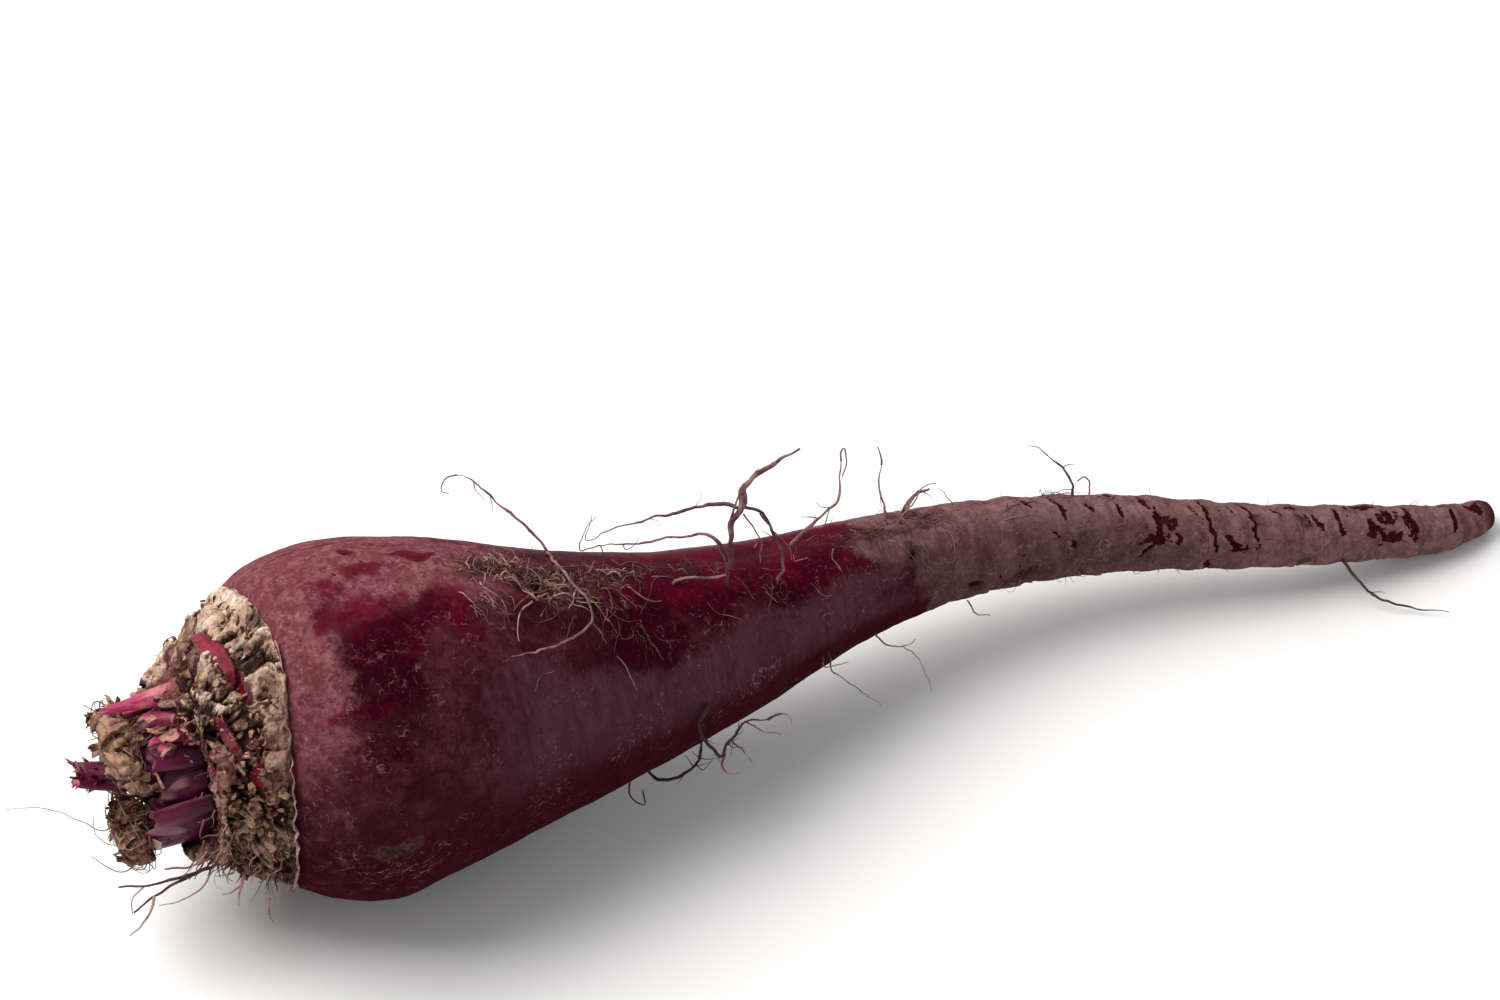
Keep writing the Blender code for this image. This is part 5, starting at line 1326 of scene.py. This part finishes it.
def make_slivers(material):
    """Crescents of crimson tissue, bedded in the grooves between the leaf scars."""
    bunch = Bunch()
    turn = np.arange(SLIVER_SIDES) * TAU / SLIVER_SIDES
    for points, width, tint in SLIVERS:
        x, degrees, _ = smooth_route([(*point, 0.0) for point in points], 0.35).T
        route = softened(crown_place(x, degrees, -1.15 + 0.08 * width))
        share = np.linspace(0, 1, len(route))
        tangent = unit(np.gradient(route, axis=0))
        out = unit(route - axis_point(route[:, 0] + 6.0))
        out = unit(out - tangent * (out * tangent).sum(axis=1, keepdims=True))
        across = np.cross(tangent, out)
        size = 0.5 * width * np.sin(math.pi * np.clip(share, 0.03, 0.97)) ** 0.7 * (1.25 - 0.6 * share)
        size = (size * (1.0 + 0.2 * perlin(route, 3.4, tint)))[:, None, None]
        ribs = np.sin(turn) * (0.5 + 0.12 * np.cos(9 * np.cos(turn)))
        grid = (route[:, None] + across[:, None] * (np.cos(turn)[:, None] * size)
                + out[:, None] * (ribs[:, None] * size))
        lift = 0.25 * perlin(grid, 3.0, 10 * tint) + 0.16 * perlin(grid, 1.0, 3.0)
        grid = grid + lift[..., None] * out[:, None]
        bunch.add(grid, draw=tint, along=share[:, None], edge=np.abs(np.cos(turn)))
    bunch.piece("crimson_slivers", "corky_crown", material)


def sliver_finish():
    flesh = Finish("sliver_finish", 0.25)
    edge = flesh["edge"]
    patch = flesh.noise(2.2, 5, 0.65)
    fibre = flesh.noise(0.7, 4, 0.65)
    bright = patch.ramp(0.4, 0.6).mix((142, 24, 50), (92, 8, 30)).coated(
        (flesh["along"].ramp(0.35, 0.85, 0.0, 0.6), (76, 8, 26)))
    shade = edge + (patch - 0.5) * 1.2
    flaky = (edge + (fibre - 0.5) * 2.0).ramp(0.9, 1.15)
    base = flesh["draw"].ramp(0.2, 0.6).mix((78, 10, 28), bright).coated(
        (shade.ramp(0.5, 0.95, 0.0, 0.8), (62, 10, 22)), (0.35 * fibre.ramp(0.54, 0.68), (168, 84, 88)),
        (0.7 * flaky, (146, 102, 88)))
    return flesh.done(base, fibre.ramp(0.3, 0.7, 0.4, 0.65), (fibre, 0.25))


def make_skin_edge(material):
    """A thin torn edge of dried skin that stands up here and there along the crown's ring."""
    bunch = Bunch()
    angle = np.linspace(EDGE_START, EDGE_END, EDGE_POINTS)
    low = np.stack([np.cos(angle), np.sin(angle), np.zeros_like(angle)], axis=1) * EDGE_RADIUS
    height = EDGE_HEIGHT * (0.5 + 1.3 * rough(low, 4.0, 4) + 0.5 * perlin(low, 1.2, 4.0))
    height = height * between(EDGE_START, EDGE_START + EDGE_FADE, EDGE_END - EDGE_FADE, EDGE_END, angle)
    height = np.clip(height, -0.8, 1.1)[:, None]
    waver = (0.8 * perlin(low, 2.4, 3.0) + 0.5 * perlin(low, 6.0, 5.0))[:, None]
    ring_x = (SHOULDER + edge_climb(angle))[:, None]
    up = np.linspace(0, 1, 6)
    rise = np.concatenate([up, up[::-1]])
    side = np.repeat((-0.08, 0.08), 6)
    x = ring_x - 1.3 + side + waver - 1.2 * rise ** 1.5 * np.maximum(height, 0)
    grid = around(x, angle[:, None] + 0 * x, root_radius(ring_x) - 1.3 + rise * (height + 1.2))
    bunch.add(grid, draw=0.25, along=rise)
    bunch.piece("skin_edge", "corky_crown", material)


# Long loose hairs and fibres of the crown: points, radius at the foot and at the end, tint
CROWN_HAIRS = (
    (((-142, -3, 26), (-145.2, -4.3, 27.6), (-151.2, 0.4, 29.9), (-156, 3, 30.4),
     (-160.5, 4.2, 30.2)), 0.14, 0.06, 0.2),
    (((-137, 7, 41.6), (-138.8, 8.1, 42.6), (-140.7, 9.7, 43.3), (-142.6, 11.4, 44.3)), 0.22, 0.07, 0.5),
    (((-137, 4.4, 40.4), (-140, 5.6, 40.8), (-143.4, 6.4, 40)), 0.16, 0.07, 0.4),
    (((-139, -6, 24), (-143.6, -7.6, 26), (-146.4, -5.8, 28.6), (-146, -4, 31)), 0.12, 0.06, 0.3),
    (((-138, -8, 22.6), (-142.4, -10.4, 21.6), (-145.6, -9.2, 22.8), (-148, -7.2, 24.4)), 0.18, 0.07, 0.3),
    (((-140.5, -15.2, 21.8), (-143, -16.4, 20.4), (-143.6, -17.8, 18.2)), 0.2, 0.09, 0.2),
    (((-139.1, -16.8, 20.2), (-140, -18.4, 18.8), (-142.6, -19.4, 16.4),
     (-145, -19.6, 14.6)), 0.3, 0.12, 0.1),
    (((-128, -16.6, 23.6), (-130, -18.2, 21), (-134.4, -18.8, 19.4),
     (-138.6, -18.2, 18.8)), 0.2, 0.08, 0.2),
    (((-122, -17.6, 20.6), (-124, -20, 18.6), (-124.8, -21.2, 16.6)), 0.34, 0.14, 0.1),
    (((-123.4, -19, 19), (-125.6, -19.6, 18.4), (-127, -19, 18)), 0.22, 0.1, 0.1),
    (((-119, -21.4, 16.4), (-119.8, -23.4, 14.4), (-119.4, -24.6, 13)), 0.26, 0.1, 0.2),
    (((-126, -13.4, 28), (-127.4, -16, 25.8), (-131.6, -16.2, 24.8),
     (-136.2, -14.4, 23.8)), 0.3, 0.16, 0.4),
)
FRINGE_HAIRS, CROWN_STUBS = 130, 60
# The crown's rough taper for the feet of fibres: distance towards the stalks, and radius
CROWN_TAPER = ((116, 131), (26.0, 16.4))
CLUMP_THREADS = ((UPPER_CLUMP, 30), (LOWER_CLUMP, 80))


def crown_foot(x, angle, depth):
    """A point below the crown's surface, and the direction out of it."""
    foot = around(x, angle, np.interp(-x, *CROWN_TAPER) - depth)
    return foot, unit(foot - axis_point(x))


def make_crown_fibres(material):
    """The coarse fibres of the frame, long hairs, and a fringe of short ones under the stalks."""
    draw = random.Random(31)
    bunch = Bunch()
    for points, foot, end in CROWN_FIBRES:
        route = smooth_route(points, 0.6)
        route = route + 0.3 * swirl(route, 2.4)
        size = np.linspace(foot, 0.6 * end, len(route)) * (1.0 + 0.25 * perlin(route, 1.6, foot))
        bunch.tube(route, 0.7 * size, 9, 0.75)
    for points, foot, end, tint in CROWN_HAIRS:
        route = smooth_route(points, 0.6)
        bunch.tube(route + 0.22 * swirl(route, 1.9, (2, 6, 11)), (foot, end), 6, tint)
    for _ in range(FRINGE_HAIRS):
        angle = draw.gauss(math.radians(125), 0.65)
        foot, out = crown_foot(draw.uniform(-129, -116), angle, 0.6)
        direction = unit(out + (draw.uniform(-1.4, -0.1), 0.0, draw.uniform(-0.6, 0.3)))
        length = draw.uniform(2.0, 7.5) * draw.uniform(0.5, 1.0)
        points = grow(foot, direction, 4, (-0.1, 0.0, -0.12), 0.45, length / 4, draw)
        if lowest(points) >= 0.3:
            size = draw.uniform(0.08, 0.26)
            bunch.tube(smooth_route(points, 0.5), (size, 0.35 * size), 5, draw.uniform(0, 0.9))
    for _ in range(CROWN_STUBS):
        angle = draw.uniform(-2.6, 1.0)
        foot, out = crown_foot(draw.uniform(-130, -117), angle, 0.4)
        points = grow(foot, out, 3, 0.0, 0.6, (0.4, 1.1), draw)
        size = draw.uniform(0.06, 0.14)
        bunch.tube(smooth_route(points, 0.4), (size, 0.4 * size), 4, draw.uniform(0, 0.5))
    for (centre, half_sizes, _), count in CLUMP_THREADS:
        for _ in range(count):
            start, turn = unit(np.array([scatter(draw, 1) for _ in range(2)]))
            sweep = np.linspace(0, draw.uniform(0.5, 1.9), 14)[:, None]
            loose = 1.08 + draw.uniform(0.0, 0.35) * np.sin(np.linspace(0, math.pi, 14))[:, None]
            route = unit(start * np.cos(sweep) + turn * np.sin(sweep)) * loose * np.array(half_sizes) * 1.1
            route = np.array(centre) + route + 0.5 * swirl(route, 3.0)
            size = draw.uniform(0.06, 0.18)
            bunch.tube(route, (size, 0.5 * size), 5, draw.uniform(0.1, 0.8))
    bunch.piece("crown_fibres", "corky_crown", material, "crown")


FLOOR_REACH, FLOOR_TONES = 3000, ((0.88, 0.88, 0.88, 1), (0.91, 0.91, 0.91, 1))


def make_floor():
    floor = Finish("floor_finish", 0.3)
    tones = dict(zip("AB", FLOOR_TONES), Factor=floor.noise(60, 2))
    material = floor.done(floor.node("Mix", "Result", tones, data_type="RGBA"), 0.7)
    corners = [(side * FLOOR_REACH, front * FLOOR_REACH, 0.0)
               for side, front in ((-1, -1), (1, -1), (1, 1), (-1, 1))]
    mesh_object("floor", corners, [(0, 1, 2, 3)], {}, material)


# The camera: its place in metres, its heading and its height above the level, in degrees
CAMERA_PLACE, CAMERA_AZIMUTH, CAMERA_ELEVATION = (-0.21453, -0.51817, 0.59868), -20.9, 44.0
CAMERA_LENS, CAMERA_SENSOR = 100, 36
# Studio lights: name, place in metres, size in metres, power in watts, colour
LIGHTS = (
    ("key", (-0.5, 0.3, 0.85), 0.8, 13.0, (1.0, 0.98, 0.96)),
    ("fill", (0.65, -0.75, 0.5), 0.7, 1.6, (0.93, 0.95, 1.0)),
    ("back", (0.5, 0.8, 0.6), 0.8, 2.4, (1.0, 1.0, 1.0)),
)
AIM = Vector((-0.03, 0.0, 0.03))
WORLD_STRENGTH = 0.36


def set_up(name, data, place, back):
    """A camera or light at a place, turned away from the direction at its back."""
    holder = bpy.data.objects.new(name, data)
    holder.location = place
    holder.rotation_euler = back.to_track_quat("Z", "Y").to_euler()
    bpy.context.scene.collection.objects.link(holder)
    return holder


def make_camera():
    camera = bpy.data.cameras.new("camera")
    camera.lens, camera.sensor_width = CAMERA_LENS, CAMERA_SENSOR
    azimuth, elevation = math.radians(CAMERA_AZIMUTH), math.radians(CAMERA_ELEVATION)
    back = Vector((math.sin(azimuth) * math.cos(elevation), -math.cos(azimuth) * math.cos(elevation),
                   math.sin(elevation)))
    bpy.context.scene.camera = set_up("camera", camera, CAMERA_PLACE, back)


def make_lights():
    for name, place, size, power, tint in LIGHTS:
        light = bpy.data.lights.new(name, "AREA")
        light.energy, light.size, light.color = power, size, tint
        set_up(name, light, place, Vector(place) - AIM)
    world = bpy.data.worlds.new("studio")
    world.use_nodes = True
    background = world.node_tree.nodes["Background"]
    background.inputs["Color"].default_value = (1.0, 1.0, 1.0, 1.0)
    background.inputs["Strength"].default_value = WORLD_STRENGTH
    bpy.context.scene.world = world
    view = bpy.context.scene.view_settings
    view.view_transform = "Standard"
    view.look = "None"


def main():
    make_camera()
    make_lights()
    make_floor()
    skin, husk, stalk = skin_finish(), husk_finish(), stalk_finish()
    rootlet, fibre = rootlet_finish(), fibre_finish()
    make_skin(skin)
    make_rootlets(rootlet)
    make_tangle(fibre)
    make_crown(crown_finish())
    make_slivers(sliver_finish())
    make_flakes(husk)
    make_skin_edge(fibre)
    make_crown_fibres(fibre)
    make_stalks(stalk)
    make_torn_stalk(stalk)
    make_withered("withered_husk_upper", UPPER_CLUMP, "withered_ends_upper", 0.62, UPPER_BRIDGE, husk)
    make_withered("withered_husk_lower", LOWER_CLUMP, "withered_ends_lower", 0.3, LOWER_BRIDGE, husk)


main()
